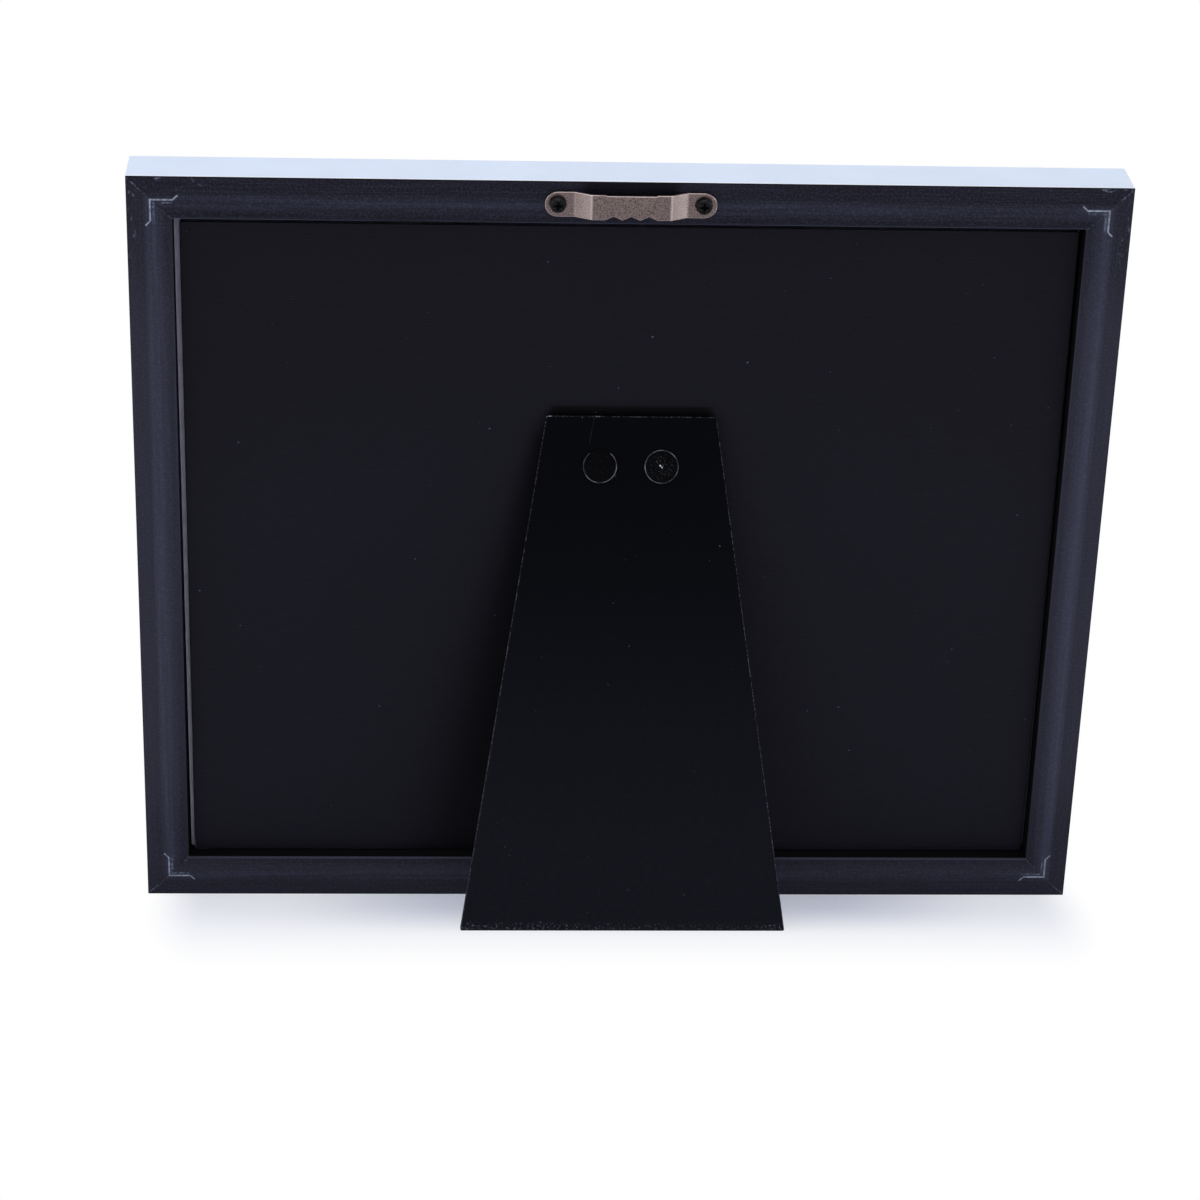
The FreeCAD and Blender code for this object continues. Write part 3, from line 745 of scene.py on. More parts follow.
def steel_finish(name, plain, metallic):
    """Bare or painted steel with fine specks and uneven gloss."""
    speck_share, patch_share, dark_level = 0.4, 0.6, 0.3
    finish = Finish(name, {"Metallic": metallic, "Specular IOR Level": 0.3})
    place = finish.local(PANEL)
    specks = finish.noise(place, 2400.0, 3.0, 0.7)
    patches = finish.noise(place, 800.0, 2.0)
    light = specks.fade(0.3, 0.6) * speck_share + patches.fade(0.35, 0.6) * patch_share
    base = finish.mix(light, darker(plain, dark_level), plain)
    return finish.coat(base, patches.around(0.48, 0.16) + specks.around(0.0, 0.12), specks, 0.00003, 0.6)


def hanger_finish(sizes):
    """Tumbled nickel with fine dark specks, and painted highlights along its rims, its bends and its slopes;
    the rims are partly burnished.
    """
    rim_share, lower_share, speck_share = 0.05, 0.5, 0.3
    bend_reach, bend_share, inner_share = (0.0006, 0.00012), 0.15, 0.25
    slope_edge, slope_share, climb_share, right_share = 0.0002, 0.1, 0.12, 0.1
    middle_height, lower_height = 0.5, 0.4
    finish = Finish("hanger_nickel", {"Metallic": 1.0})
    place = finish.local(PANEL)
    across, up, _ = place.parts()
    low, high = node_box("sawtooth_hanger", PANEL)
    aside = across - (low.x + high.x) / 2
    is_right = aside > 0.0
    width = high.y - low.y
    is_low = up.fade(low.y + width * middle_height, low.y + width * lower_height)
    specks = finish.noise(place, 3300.0, 2.0, 0.8)
    half_slope = sizes.slope / 2
    from_slope = abs(aside) - sizes.bridge / 2 - half_slope
    is_inner = from_slope.fade(sizes.slope / 10, -sizes.slope / 10)
    climb = (from_slope * (is_right * 2.0 - 1.0)).fade(-half_slope, half_slope)
    # Painted highlights: on the rims, more on their lower half, on the bends, more on the inner ones, and on
    # the slopes, growing to the right and stronger on the right slope
    rims = finish.mark("rim") * (rim_share + lower_share * is_low + speck_share * specks)
    bends = abs(abs(from_slope) - half_slope).fade(*bend_reach) * (bend_share + inner_share * is_inner)
    slopes = abs(from_slope).fade(half_slope + slope_edge, half_slope - slope_edge)
    slopes = slopes * (slope_share + climb_share * climb + right_share * is_right)
    highlights_and_burnish = rims.most(bends).most(slopes)
    clean = specks.fade(0.38, 0.58)
    base = finish.layers(sizes.speck_colour, (clean, sizes.nickel_colour), (highlights_and_burnish, sizes.highlight_and_burnish_colour))
    return finish.coat(base, specks.around(0.32, 0.2) - highlights_and_burnish * 0.1, specks, 0.00003, 0.5)


def screw_finish(sizes):
    """Black finish of the screws, worn a little, with painted shade inside the recess."""
    worn_share, recess_shade_level = 0.3, 0.1
    finish = Finish("black_screw", {"Specular IOR Level": 0.11})
    specks = finish.noise(finish.local(PANEL), 2800.0, 3.0, 0.7)
    sunk = finish.mark("sunk")
    base = finish.layers(
        sizes.screw_colour, (specks.fade(0.56, 0.72) * worn_share, sizes.nickel_colour),
        # Painted shade inside the cross recess
        (sunk.fade(0.0, 0.5), darker(sizes.screw_colour, recess_shade_level)))
    return finish.coat(base, specks.around(0.36, 0.2) + sunk * 0.5, specks, 0.00003, 0.5)


def rivet_finish(sizes, holes):
    """Black paint with a painted highlight ring round each head, open at the top of the first, with dust and
    a painted glint in the middle of one.
    """
    ring_radius, ring_reach, ring_least, gap_reach = 0.00479, (0.00017, 0.00005), 0.2, (0.0, 0.0012)
    dust_reach, dust_share, dust_gain = (0.0046, 0.0030), 0.05, 0.2
    glint_places = ((-0.0004, 0.0003, 0.00034), (0.0001, -0.0002, 0.00028))
    finish = Finish("black_rivet", {"Specular IOR Level": 0.03})
    place = finish.local(LEG_SEAT)
    across, up, _ = place.parts()
    (first, height, _), (last, _, _) = sorted(holes)
    is_last = across > (first + last) / 2
    aside = across - first - is_last * (last - first)
    above = up - height
    radius = hypotenuse(aside, above)
    uneven = finish.noise(place, 260.0, 2.0)
    dust = finish.noise(place, 2300.0, 2.0, 0.6).fade(0.56, 0.72)
    # Painted highlight ring round each rim, uneven round it and open at the top of the first rivet
    gap = (above - abs(aside)).fade(*gap_reach) * (1 - is_last)
    ring = abs(radius - ring_radius).fade(*ring_reach) * (1 - gap)
    ring = ring * (ring_least + (1 - ring_least) * uneven.fade(0.35, 0.6))
    dusty = dust * radius.fade(*dust_reach) * (dust_share + dust_gain * is_last)
    # Painted glints in the middle of the last rivet
    spot, other = [hypotenuse(aside - x, above - y).fade(reach, reach / 3) for x, y, reach in glint_places]
    base = finish.layers(
        sizes.rivet_colour, (ring.most(dusty), sizes.ring_highlight_colour),
        (spot.most(other) * is_last, sizes.painted_glint_colour))
    return finish.coat(base, 0.42 + dust * 0.2 + ring * 0.1, uneven + dust, 0.00002, 0.4)


# Pieces


def crest_points(sizes):
    """Corners of the moulding's back, from the rabbet's edge over the crest to the outer side."""
    middle = sizes.crest_offset
    half = sizes.crest_half_width
    crest_round, foot_round = half * 0.45, half * 0.2
    return [
        (sizes.back_width, -sizes.inner_drop, sizes.inner_round),
        (middle + half / 2, CREST_HEIGHT, crest_round),
        (middle - half / 2, CREST_HEIGHT, crest_round),
        (middle - half, 0, foot_round),
        (0, 0, sizes.rear_round),
    ]


def face_points(sizes, inset, front):
    """Corners of the face side, from the rear bead round the face to the back of the lip."""
    low, high = node_box("bottom_foil", PANEL)
    lip = node_box("glass_pane", PANEL)[0].z - sizes.lip_gap
    sight = high.y - inset
    face = low.z + inset
    return [
        (inset, front, 0),
        (inset, face, sizes.face_round - inset),
        (sight, face + sizes.face_fall, sizes.sight_round - inset),
        (sight, lip, 0),
    ]


def strip(corners, length, mitre_ease):
    """Runs a section along X and cuts both ends to mitres with eased edges."""
    shape = pull(outline(corners), length)
    shape.transform(Matrix(((0, 0, 1, -length / 2), (1, 0, 0, 0), (0, 1, 0, 0), (0, 0, 0, 1))))
    for side in (-1, 1):
        cut = bmesh.ops.bisect_plane(
            shape, geom=shape.verts[:] + shape.edges[:] + shape.faces[:],
            plane_co=(side * length / 2, 0, 0), plane_no=(side, 1, 0), clear_outer=True)
        edges = [part for part in cut["geom_cut"] if isinstance(part, bmesh.types.BMEdge)]
        bmesh.ops.edgeloop_fill(shape, edges=edges)
        bmesh.ops.bevel(
            shape, geom=edges, offset=mitre_ease, offset_type="OFFSET", affect="EDGES",
            segments=2, profile=0.5, material=-1, loop_slide=False)
    bmesh.ops.recalc_face_normals(shape, faces=shape.faces[:])
    return shape


class PHOTOFRAME_OT_rails(bpy.types.Operator):
    """Builds the four mitred rails of black moulding"""

    bl_idname = "photoframe.rails"
    bl_label = "Rails"

    def execute(self, context):
        sizes = context.scene.photoframe_moulding
        finish = moulding_finish(sizes)
        face = face_points(sizes, sizes.foil, -sizes.bead)
        lip = face[-1][1]
        section = face + [(sizes.back_width, lip, 0)] + crest_points(sizes) + [(0, -sizes.bead, 0)]
        for name, turns in SIDES.items():
            seat, length = side_frame(turns)
            shape = strip(section, length, sizes.mitre_ease)
            piece(shape, name + "_moulding", seat, "frame", finish, [name + "_rail"])
        return {"FINISHED"}


class PHOTOFRAME_OT_foil(bpy.types.Operator):
    """Builds the pale foil that wraps the face and the outer sides of each rail"""

    bl_idname = "photoframe.foil"
    bl_label = "Foil"

    def execute(self, context):
        sizes = context.scene.photoframe_moulding
        finish = foil_finish(sizes)
        outer = face_points(sizes, 0, -sizes.bead)
        inner = face_points(sizes, sizes.foil, -sizes.bead)
        for name, turns in SIDES.items():
            seat, length = side_frame(turns)
            shape = strip(outer + inner[::-1], length, sizes.mitre_ease / 2)
            piece(shape, name + "_wrap", seat, "frame", finish, [name + "_foil"])
        return {"FINISHED"}


def nail_outline(sizes):
    """Corners of a mitre nail seen from behind: an angle with hooked ends."""
    half = sizes.nail_sheet / 2
    near, end = sizes.nail_offset, sizes.nail_end
    hook = sizes.nail_hook * math.sin(math.pi / 4)
    slant = half * math.sqrt(2)
    leg = [
        (end - half * math.tan(math.pi / 8), near + half),
        (end + hook + slant / 2, near - hook + slant / 2),
        (end + hook - slant / 2, near - hook - slant / 2),
        (end + half * math.tan(math.pi / 8) - slant / 2, near - half),
    ]
    mirrored = [(y, x) for x, y in leg[::-1]]
    return [(near + half, near + half), *leg, (near - half, near - half), *mirrored]


class PHOTOFRAME_OT_nails(bpy.types.Operator):
    """Builds the four nails that are driven across the mitres"""

    bl_idname = "photoframe.nails"
    bl_label = "Mitre nails"

    def execute(self, context):
        sizes = context.scene.photoframe_moulding
        steel = steel_finish("nail_steel", sizes.nail_colour, 1.0)
        top = CREST_HEIGHT + sizes.nail_stand
        for name, turns in CORNERS.items():
            low, _ = node_box("v_nail_" + name, PANEL)
            corners = [(x, y, 0) for x, y in nail_outline(sizes)]
            shape = ease(pull(outline(corners), top - low.z), sizes.nail_edge, 2)
            seat = corner_frame(turns) @ Matrix.Translation((0, 0, low.z))
            piece(shape, "mitre_nail_" + name, seat, "frame", steel, ["v_nail_" + name])
        return {"FINISHED"}


def soft_ramp(value, reach):
    """Zero below 0 and the value above it, with a rounded turn between."""
    if value <= -reach:
        return 0.0
    if value >= reach:
        return value
    return (value + reach) ** 2 / (4 * reach)


def hanger_rise(sizes, x, rise):
    """Height of the pressed sheet at one place along the hanger."""
    foot = sizes.bridge / 2 + sizes.slope
    climbed = soft_ramp(foot - abs(x), sizes.bend) - soft_ramp(foot - abs(x) - sizes.slope, sizes.bend)
    return rise * climbed / sizes.slope


def hanger_corners(sizes, length, width):
    """Corners of the hanger seen from behind: round ends, a stepped top and a notched lower edge."""
    end, half = length / 2, width / 2
    teeth = []
    for index in (-1, 0, 1):
        middle = index * sizes.notch_pitch
        teeth += [
            (middle - sizes.notch_width / 2, -half, sizes.tooth_round),
            (middle, sizes.notch_depth - half, sizes.notch_round),
        ]
    teeth.append((sizes.notch_pitch + sizes.notch_width / 2, -half, sizes.tooth_round))
    reach = half - WELD
    step = sizes.step_length / 2
    return [
        (-end, -half, reach), *teeth, (end, -half, reach), (end, half, reach),
        (step, half, 0), (step - sizes.step, half - sizes.step, 0),
        (sizes.step - step, half - sizes.step, 0), (-step, half, 0), (-end, half, reach),
    ]


def pressed_hanger(sizes, length, width, rise):
    """Flat blank pressed in round its screw holes, bent to its bridge and given its thickness."""
    places = [side * sizes.hole_spacing / 2 for side in (-1, 1)]
    blank = sheet(hanger_corners(sizes, length, width), [(x, 0, sizes.dimple_radius) for x in places])
    for x in places:
        seat = [edge for edge in blank.edges if all(
            (vert.co - Vector((x, 0, 0))).length < sizes.dimple_radius + WELD for vert in edge.verts)]
        seat = draw_in(blank, seat, x, sizes.dimple_slope, sizes.dimple)
        draw_in(blank, seat, x, sizes.hole_diameter / 2 / sizes.dimple_radius / sizes.dimple_slope, 0)
    first = sizes.bridge / 2 - 2 * sizes.bend
    last = sizes.bridge / 2 + sizes.slope + 2 * sizes.bend
    for step in range(BEND_STEPS + 1):
        for side in (-1, 1):
            bmesh.ops.bisect_plane(
                blank, geom=blank.verts[:] + blank.edges[:] + blank.faces[:],
                plane_co=(side * (first + (last - first) * step / BEND_STEPS), 0, 0), plane_no=(1, 0, 0))
    for vert in blank.verts:
        vert.co.z += hanger_rise(sizes, vert.co.x, rise)
    return ease(thicken(blank, sizes.sheet, 1), sizes.rim, 3)


class PHOTOFRAME_OT_hanger(bpy.types.Operator):
    """Builds the pressed hanger with its three notches"""

    bl_idname = "photoframe.hanger"
    bl_label = "Hanger"

    def execute(self, context):
        sizes = context.scene.photoframe_hanger
        low, high = node_box("sawtooth_hanger", PANEL)
        rise = high.z - low.z - sizes.sheet
        shape = pressed_hanger(sizes, high.x - low.x, high.y - low.y, rise)
        seat = node_seat("sawtooth_hanger", PANEL, low.z + sizes.sheet)
        nickel = hanger_finish(sizes)
        piece(shape, "pressed_hanger", seat, "frame", nickel, ["sawtooth_hanger"])
        return {"FINISHED"}


def cross_outline(span, slot):
    """Corners of the cross recess."""
    long, short = span / 2, slot / 2
    arm = [(long, -short), (long, short), (short, short)]
    corners = []
    for turns in range(4):
        turn = Matrix.Rotation(turns * math.pi / 2, 2)
        corners += [turn @ Vector(point) for point in arm]
    return corners


def screw(sizes, radius, head, length):
    """Turned screw with its head from Z = 0 up and its cross recess."""
    shank = sizes.shank / 2
    tip, tip_top, cone_top, neck = shank * 0.3, shank * 0.8, length * 0.75, radius * 0.98
    flat = radius - sizes.head_round
    profile = [(0, -length), (tip, tip_top - length), (shank, -cone_top), (shank, 0), (neck, 0)]
    rounding = arc(flat, head - sizes.head_round, sizes.head_round, 0, 84, CORNER_STEPS)
    shape = turned(profile + rounding + [(flat, head)])
    top = [edge for edge in shape.edges if edge.is_boundary]
    cross = [shape.verts.new((x, y, head)) for x, y in cross_outline(sizes.drive_span, sizes.drive_slot)]
    edges = [shape.edges.new((cross[index - 1], cross[index])) for index in range(len(cross))]
    filled = bmesh.ops.triangle_fill(shape, edges=top + edges, use_beauty=True)["geom"]
    middle = [part for part in filled if isinstance(part, bmesh.types.BMFace) and (
        part.calc_center_median().xy.length < sizes.drive_slot / 2)]
    bmesh.ops.delete(shape, geom=middle, context="FACES_ONLY")
    floor = draw_in(shape, edges, 0, sizes.drive_taper, sizes.drive_depth)
    sunk = shape.verts.layers.float.new("sunk")
    for vert in {vert for edge in floor for vert in edge.verts}:
        vert[sunk] = 1.0
    bmesh.ops.edgeloop_fill(shape, edges=floor)
    bmesh.ops.recalc_face_normals(shape, faces=shape.faces[:])
    return shape


class PHOTOFRAME_OT_screws(bpy.types.Operator):
    """Builds the two black cross head screws of the hanger"""

    bl_idname = "photoframe.screws"
    bl_label = "Hanger screws"

    def execute(self, context):
        sizes = context.scene.photoframe_hanger
        seat_z = node_box("sawtooth_hanger", PANEL)[0].z + sizes.sheet
        black = screw_finish(sizes)
        for side in ("left", "right"):
            node = "hanger_screw_" + side
            low, high = node_box(node, PANEL)
            shape = screw(sizes, (high.x - low.x) / 2, high.z - seat_z, seat_z - low.z)
            seat = node_seat(node, PANEL, seat_z)
            piece(shape, "cross_head_screw_" + side, seat, "frame", black, [node])
        return {"FINISHED"}


def turn_card(shape, sizes, low, high):
    """Turns the flat card a little in the rabbet, and cuts it a little larger."""
    middle = Matrix.Translation(((low.x + high.x) / 2, (low.y + high.y) / 2, 0))
    larger = 1 + 2 * sizes.card_ease / (high.x - low.x)
    turn = Matrix.Rotation(sizes.card_turn, 4, "Z") @ Matrix.Scale(larger, 4)
    shape.transform(middle @ turn @ middle.inverted())


class PHOTOFRAME_OT_sheets(bpy.types.Operator):
    """Builds the glass, the bare print and the card"""

    bl_idname = "photoframe.sheets"
    bl_label = "Glass, print and card"

    def execute(self, context):
        sizes = context.scene.photoframe_backing
        glass, card = (sizes.glass_corner, sizes.glass_edge), (sizes.corner, sizes.card_edge)
        plates = [
            ("glass_pane", "clear_pane", "glass", "clear_glass", glass, glass_finish),
            ("print_sheet", "bare_print", "print", "print_paper", (0.0, 0.0), paper_finish),
            ("filler_card", "card_filler", "card", "filler_card", card, card_finish),
        ]
        for node, name, body, slot, (corner, edge), finish in plates:
            low, high = node_box(node, PANEL)
            shape = outline(rectangle(low, high, corner))
            if node == "filler_card":
                turn_card(shape, sizes, low, high)
            pull(shape, high.z - low.z)
            if edge:
                ease(shape, edge, 2)
            seat = PANEL @ Matrix.Translation((0, 0, low.z))
            piece(shape, name, seat, body, finish(sizes), [node])
        return {"FINISHED"}


def glass_finish(sizes):
    """Clear float glass with the faintest uneven gloss."""
    clear = {"Base Color": opaque(sizes.glass_colour), "Transmission Weight": 1.0, "IOR": 1.5}
    finish = Finish("clear_glass", clear)
    return finish.surface(Roughness=finish.noise(finish.local(PANEL), 30.0, 1.0).around(0.004, 0.004))


def paper_finish(sizes):
    """Bare photo paper with a fine tooth."""
    cloud_share, cloud_level = 0.5, 0.97
    finish = Finish("print_paper", {"Specular IOR Level": 0.45})
    place = finish.local(PANEL)
    tooth = finish.noise(place, 4000.0, 3.0, 0.6)
    clouds = finish.noise(place, 40.0, 2.0).fade(0.3, 0.7) * cloud_share
    base = finish.mix(clouds, sizes.paper_colour, darker(sizes.paper_colour, cloud_level))
    return finish.coat(base, tooth.around(0.45, 0.1), tooth, 0.00001, 0.4)


def card_finish(sizes):
    """Grey recycled card with fibres and flecks, and painted shade along its right edge in the gap beside
    the board.
    """
    fibre_level, fleck_share, fleck_level = 0.8, 0.5, 0.55
    edge_start, edge_end, edge_share, gap_shade_level = 0.0020, 0.0012, 0.9, 0.02
    finish = Finish("filler_card", {"Specular IOR Level": 0.25})
    place = finish.local(PANEL)
    across, up, out = place.parts()
    fibres = finish.stretched((across, up, out), (900.0, 160.0, 900.0), 4.0, 0.65)
    flecks = finish.noise(place, 1400.0, 2.0, 0.5).fade(0.66, 0.74) * fleck_share
    right = node_box("filler_card", PANEL)[1].x
    # Painted shade along the card's right edge, where it shows in the gap beside the board
    edge = across.fade(right - edge_start, right - edge_end) * edge_share
    fibre_tone, fleck_tone, gap_shade_tone = [
        darker(sizes.card_colour, level) for level in (fibre_level, fleck_level, gap_shade_level)]
    base = finish.layers(
        fibre_tone, (fibres.fade(0.3, 0.7), sizes.card_colour), (flecks, fleck_tone), (edge, gap_shade_tone))
    return finish.coat(base, 0.75 + fibres * 0.1, fibres, 0.00006, 0.7)


def leg_shade(across, up):
    """Soft shade of the leg on the board: over its top, and to its left as seen from behind."""
    half_top, slant = 0.0245, 0.118
    over_top, top_loss = (0.0027, 0.0014), 0.003
    spread, start, beside_reach, top_reach, beside_share = 0.1, 0.002, (2.0, 0.2), (0.0, 0.01), 0.78
    low, high = node_box("strut_leg", PANEL)
    aside = across - (low.x + high.x) / 2
    above = abs(aside).fade(half_top, half_top - top_loss) * (up - high.y).fade(*over_top)
    drop = (high.y - up).most(0.0)
    from_leg = (aside + half_top + drop * slant) * -1.0
    beside = from_leg.math("DIVIDE", drop * spread + start).fade(*beside_reach) * drop.fade(*top_reach)
    return above.most(beside * (1 - (aside > 0.0)) * beside_share)


def board_finish(sizes):
    """Black paper with fine level ribs, faint mottling and specks of dust, with painted light from the
    middle down towards the foot and painted shade by the leg.
    """
    wander_share, dark_level, shade_share, shade_level = 0.9, 0.5, 0.9, 0.04
    rib_share, mottle_share, middle_share, foot_share = 0.35, 0.25, 0.3, 0.1
    middle_light_reach, foot_reach = (0.18, 0.12), (0.1, 0.03)
    corner_reach, corner_share, rim_share, dust_share = (0.0050, 0.0020), 0.9, 0.12, 0.6
    finish = Finish("black_board", {"Specular IOR Level": 0.08})
    place = finish.local(PANEL)
    across, up, out = place.parts()
    wander = finish.stretched((across, up, 0.0), (60.0, 240.0, 0.0))
    broken = finish.stretched((across, up, out), (420.0, 2200.0, 400.0), 3.0, 0.6)
    mottle = finish.noise(place, 26.0, 3.0, 0.6)
    dust = finish.noise(place, 760.0, 1.0, 0.4).fade(0.80, 0.84) * dust_share
    turn = (up + wander * sizes.rib_pitch * wander_share) * (2 * math.pi / sizes.rib_pitch)
    ribs = (turn.math("SINE") * 0.5 + 0.5) * broken.fade(0.3, 0.7)
    light = ribs * rib_share + mottle * mottle_share
    # Painted light: the board lighter from its middle down, and more towards its foot
    light = light + up.fade(*middle_light_reach) * middle_share + up.fade(*foot_reach) * foot_share
    low, _ = node_box("backing_board", PANEL)
    corner = (across - low.x).most(up - low.y).fade(*corner_reach)
    worn = finish.mark("rim") * (corner * corner_share + broken.fade(0.6, 0.7) * rim_share)
    base = finish.layers(
        darker(sizes.board_colour, dark_level), (light, sizes.board_colour),
        # Painted shade of the leg on the board
        (leg_shade(across, up) * shade_share, darker(sizes.board_colour, shade_level)),
        (dust.most(worn), sizes.dust_colour))
    return finish.coat(base, mottle.around(0.56, 0.12) - ribs * 0.1, ribs + broken * 0.4, 0.00005, 0.6)


class PHOTOFRAME_OT_board(bpy.types.Operator):
    """Builds the backing board in its black ribbed paper"""

    bl_idname = "photoframe.board"
    bl_label = "Backing board"

    def execute(self, context):
        sizes = context.scene.photoframe_backing
        strut = context.scene.photoframe_strut
        low, high = node_box("backing_board", PANEL)
        holes = rivet_holes("board_rivet_", PANEL, strut.tail / 2 + strut.hole_play)
        shape = pull(sheet(rectangle(low, high, sizes.corner), holes), high.z - low.z)
        ease(shape, sizes.board_edge, 3)
        seat = PANEL @ Matrix.Translation((0, 0, low.z))
        paper = board_finish(sizes)
        piece(shape, "ribbed_board", seat, "backing", paper, ["backing_board"])
        return {"FINISHED"}


def rivet_holes(prefix, seat, radius):
    """Hole of each of a pair of rivets, as (x, y, radius) in a working frame."""
    holes = []
    for side in ("left", "right"):
        low, high = node_box(prefix + side, seat)
        holes.append(((low.x + high.x) / 2, (low.y + high.y) / 2, radius))
    return holes


def leg_finish(sizes, slant, half_foot, low, high):
    """Black paper on card, with painted light growing towards the foot and painted shade on its top end,
    worn to grey dots along its rims.
    """
    foot_light_reach, tooth_share, grain_share, dark_level = (0.14, 0.0), 0.25, 0.2, 0.3
    side_reach, left_reach, left_share, middle_share = (0.012, 0.003), (0.02, -0.03), 0.4, 0.3
    foot_reach, speck_share, rim_share = (0.0032, 0.0008), 0.5, 0.6
    scratch_start, scratch_slant, scratch_reach = 0.0106, 0.18, (0.00022, 0.00008)
    scratch_end, scratch_share = (0.0082, 0.0070), 0.12
    chip_places = ((0.0237, (0.0009, 0.0005)), (0.0096, (0.0008, 0.0004)))
    chip_reach, chip_share = (0.0004, 0.0002), 0.8
    end_reach, end_share, top_end_shade_level = (0.0002, 0.00005), 0.9, 0.1
    face_start, face_end = 0.0002, 0.0005
    finish = Finish("strut_board", {"Specular IOR Level": 0.025})
    place = finish.local(LEG_SEAT)
    across, up, out = place.parts()
    aside = across - (low.x + high.x) / 2
    to_foot, to_top = up - low.y, high.y - up
    to_side = half_foot - to_foot * slant - abs(aside)
    grain = finish.noise(place, 1500.0, 4.0, 0.7)
    dots = finish.noise(place, 1900.0, 2.0, 0.5)
    flecks = finish.noise(place, 1300.0, 3.0, 0.75).fade(0.54, 0.62)
    specks = finish.noise(place, 700.0, 1.0, 0.4).fade(0.80, 0.84) * speck_share
    tooth = finish.stretched((across, up, out), (500.0, 2200.0, 500.0), 3.0, 0.6)
    wear = (middle_share + aside.fade(*left_reach) * left_share).most(to_side.fade(*side_reach))
    wear = to_foot.fade(*foot_reach) * wear * flecks
    worn = (finish.mark("rim") * dots.fade(0.46, 0.6) * rim_share).most(wear).most(specks)
    scratch = abs(aside + scratch_start + to_top * scratch_slant).fade(*scratch_reach)
    scratch = scratch * to_top.fade(*scratch_end) * grain.fade(0.35, 0.65) * scratch_share
    first, second = [abs(aside + x).fade(*reach) for x, reach in chip_places]
    chips = first.most(second) * finish.mark("rim") * to_top.fade(*chip_reach) * dots.fade(0.35, 0.5)
    # Painted shade on the top end face of the leg
    end = to_top.fade(*end_reach) * out.fade(high.z - face_start, high.z - face_end)
    dark = tooth.fade(0.3, 0.7) * tooth_share + grain * grain_share
    base = finish.layers(
        # Painted light growing towards the foot
        sizes.leg_colour, (to_foot.fade(*foot_light_reach), sizes.foot_light_colour),
        (dark, darker(sizes.leg_colour, dark_level)), (worn.most(scratch), sizes.worn_colour),
        (chips * chip_share, sizes.chip_colour), (end * end_share, darker(sizes.leg_colour, top_end_shade_level)))
    return finish.coat(base, grain.around(0.52, 0.14) + worn * 0.3, tooth + worn, 0.00004, 0.5)


class PHOTOFRAME_OT_leg(bpy.types.Operator):
    """Builds the tapered leg of the strut"""

    bl_idname = "photoframe.leg"
    bl_label = "Leg"

    def execute(self, context):
        sizes = context.scene.photoframe_strut
        low, high = node_box("strut_leg", LEG_SEAT)
        points = [LEG_SEAT.inverted() @ vertex.co for vertex in frame["nodes"]["strut_leg"].data.vertices]
        top = [point.x for point in points if point.y > high.y - 2 * sizes.leg_corner]
        middle, half_foot, half_top = (low.x + high.x) / 2, (high.x - low.x) / 2, (max(top) - min(top)) / 2
        ends = ((-half_foot, low.y), (half_foot, low.y), (half_top, high.y), (-half_top, high.y))
        corners = [(middle + x, y, sizes.leg_corner) for x, y in ends]
        holes = rivet_holes("leg_rivet_", LEG_SEAT, sizes.shank / 2 + sizes.hole_play)
        shape = ease(pull(sheet(corners, holes), high.z - low.z), sizes.leg_edge, 3)
        slant = (half_foot - half_top) / (high.y - low.y)
        finish = leg_finish(sizes, slant, half_foot, low, high)
        seat = LEG_SEAT @ Matrix.Translation((0, 0, low.z))
        piece(shape, "tapered_leg", seat, "strut", finish, ["strut_leg"])
        return {"FINISHED"}


def leg_rivet(sizes, low, face, top, radius):
    """Dished head with a rounded rim on the leg, and a clinched tail under the leaf."""
    shank, tail, rim = sizes.shank / 2, sizes.tail / 2, sizes.rim / 2
    tail_face, bevel = low + sizes.tail_height, tail * 0.8
    lip, lip_rise = radius * 0.99, 0.00005
    floor = top - sizes.dish
    dish = [(radius - 2.2 * rim, 0.0), (radius * 0.55, -0.00002), (radius * 0.22, 0.00004)]
    dish += [(radius * 0.16, -0.00006), (0, -0.00006)]
    return turned([
        (0, low), (bevel, low), (tail, low + sizes.tail_height / 2), (tail, tail_face),
        (shank, tail_face), (shank, face), (lip, face), (radius, face + lip_rise),
        *arc(radius - rim, top - rim, rim, 0, 150, 2 * CORNER_STEPS),
        *[(x, floor + rise) for x, rise in dish]])


def board_rivet(sizes, low, face, top, radius):
    """Low round head on the board's leaf, and a tail sunk in the board's front."""
    shank, tail = sizes.shank / 2, sizes.tail / 2
    tail_face, lip = low + sizes.tail_height, radius * 0.99
    crown = arc(radius - (top - face), face, top - face, 20, 88, CORNER_STEPS)
    return turned([
        (0, low), (tail, low), (tail, tail_face), (shank, tail_face), (shank, face), (lip, face),
        *crown, (0, top)])


def rivets(make, sizes, prefix, name, seat, face, body, finish):
    """Builds a pair of rivets whose heads lie on a face at the given height."""
    for side in ("left", "right"):
        node = prefix + side
        low, high = node_box(node, seat)
        shape = make(sizes, low.z, face, high.z, (high.x - low.x) / 2)
        piece(shape, name + side, node_seat(node, seat), body, finish, [node])


class PHOTOFRAME_OT_rivets(bpy.types.Operator):
    """Builds the two rivets of the leg"""

    bl_idname = "photoframe.rivets"
    bl_label = "Leg rivets"

    def execute(self, context):
        sizes = context.scene.photoframe_strut
        face = node_box("strut_leg", LEG_SEAT)[1].z
        paint = rivet_finish(sizes, rivet_holes("leg_rivet_", LEG_SEAT, sizes.shank / 2))
        rivets(
            leg_rivet, sizes, "leg_rivet_", "strut_rivet_", LEG_SEAT, face, "strut", paint)
        return {"FINISHED"}


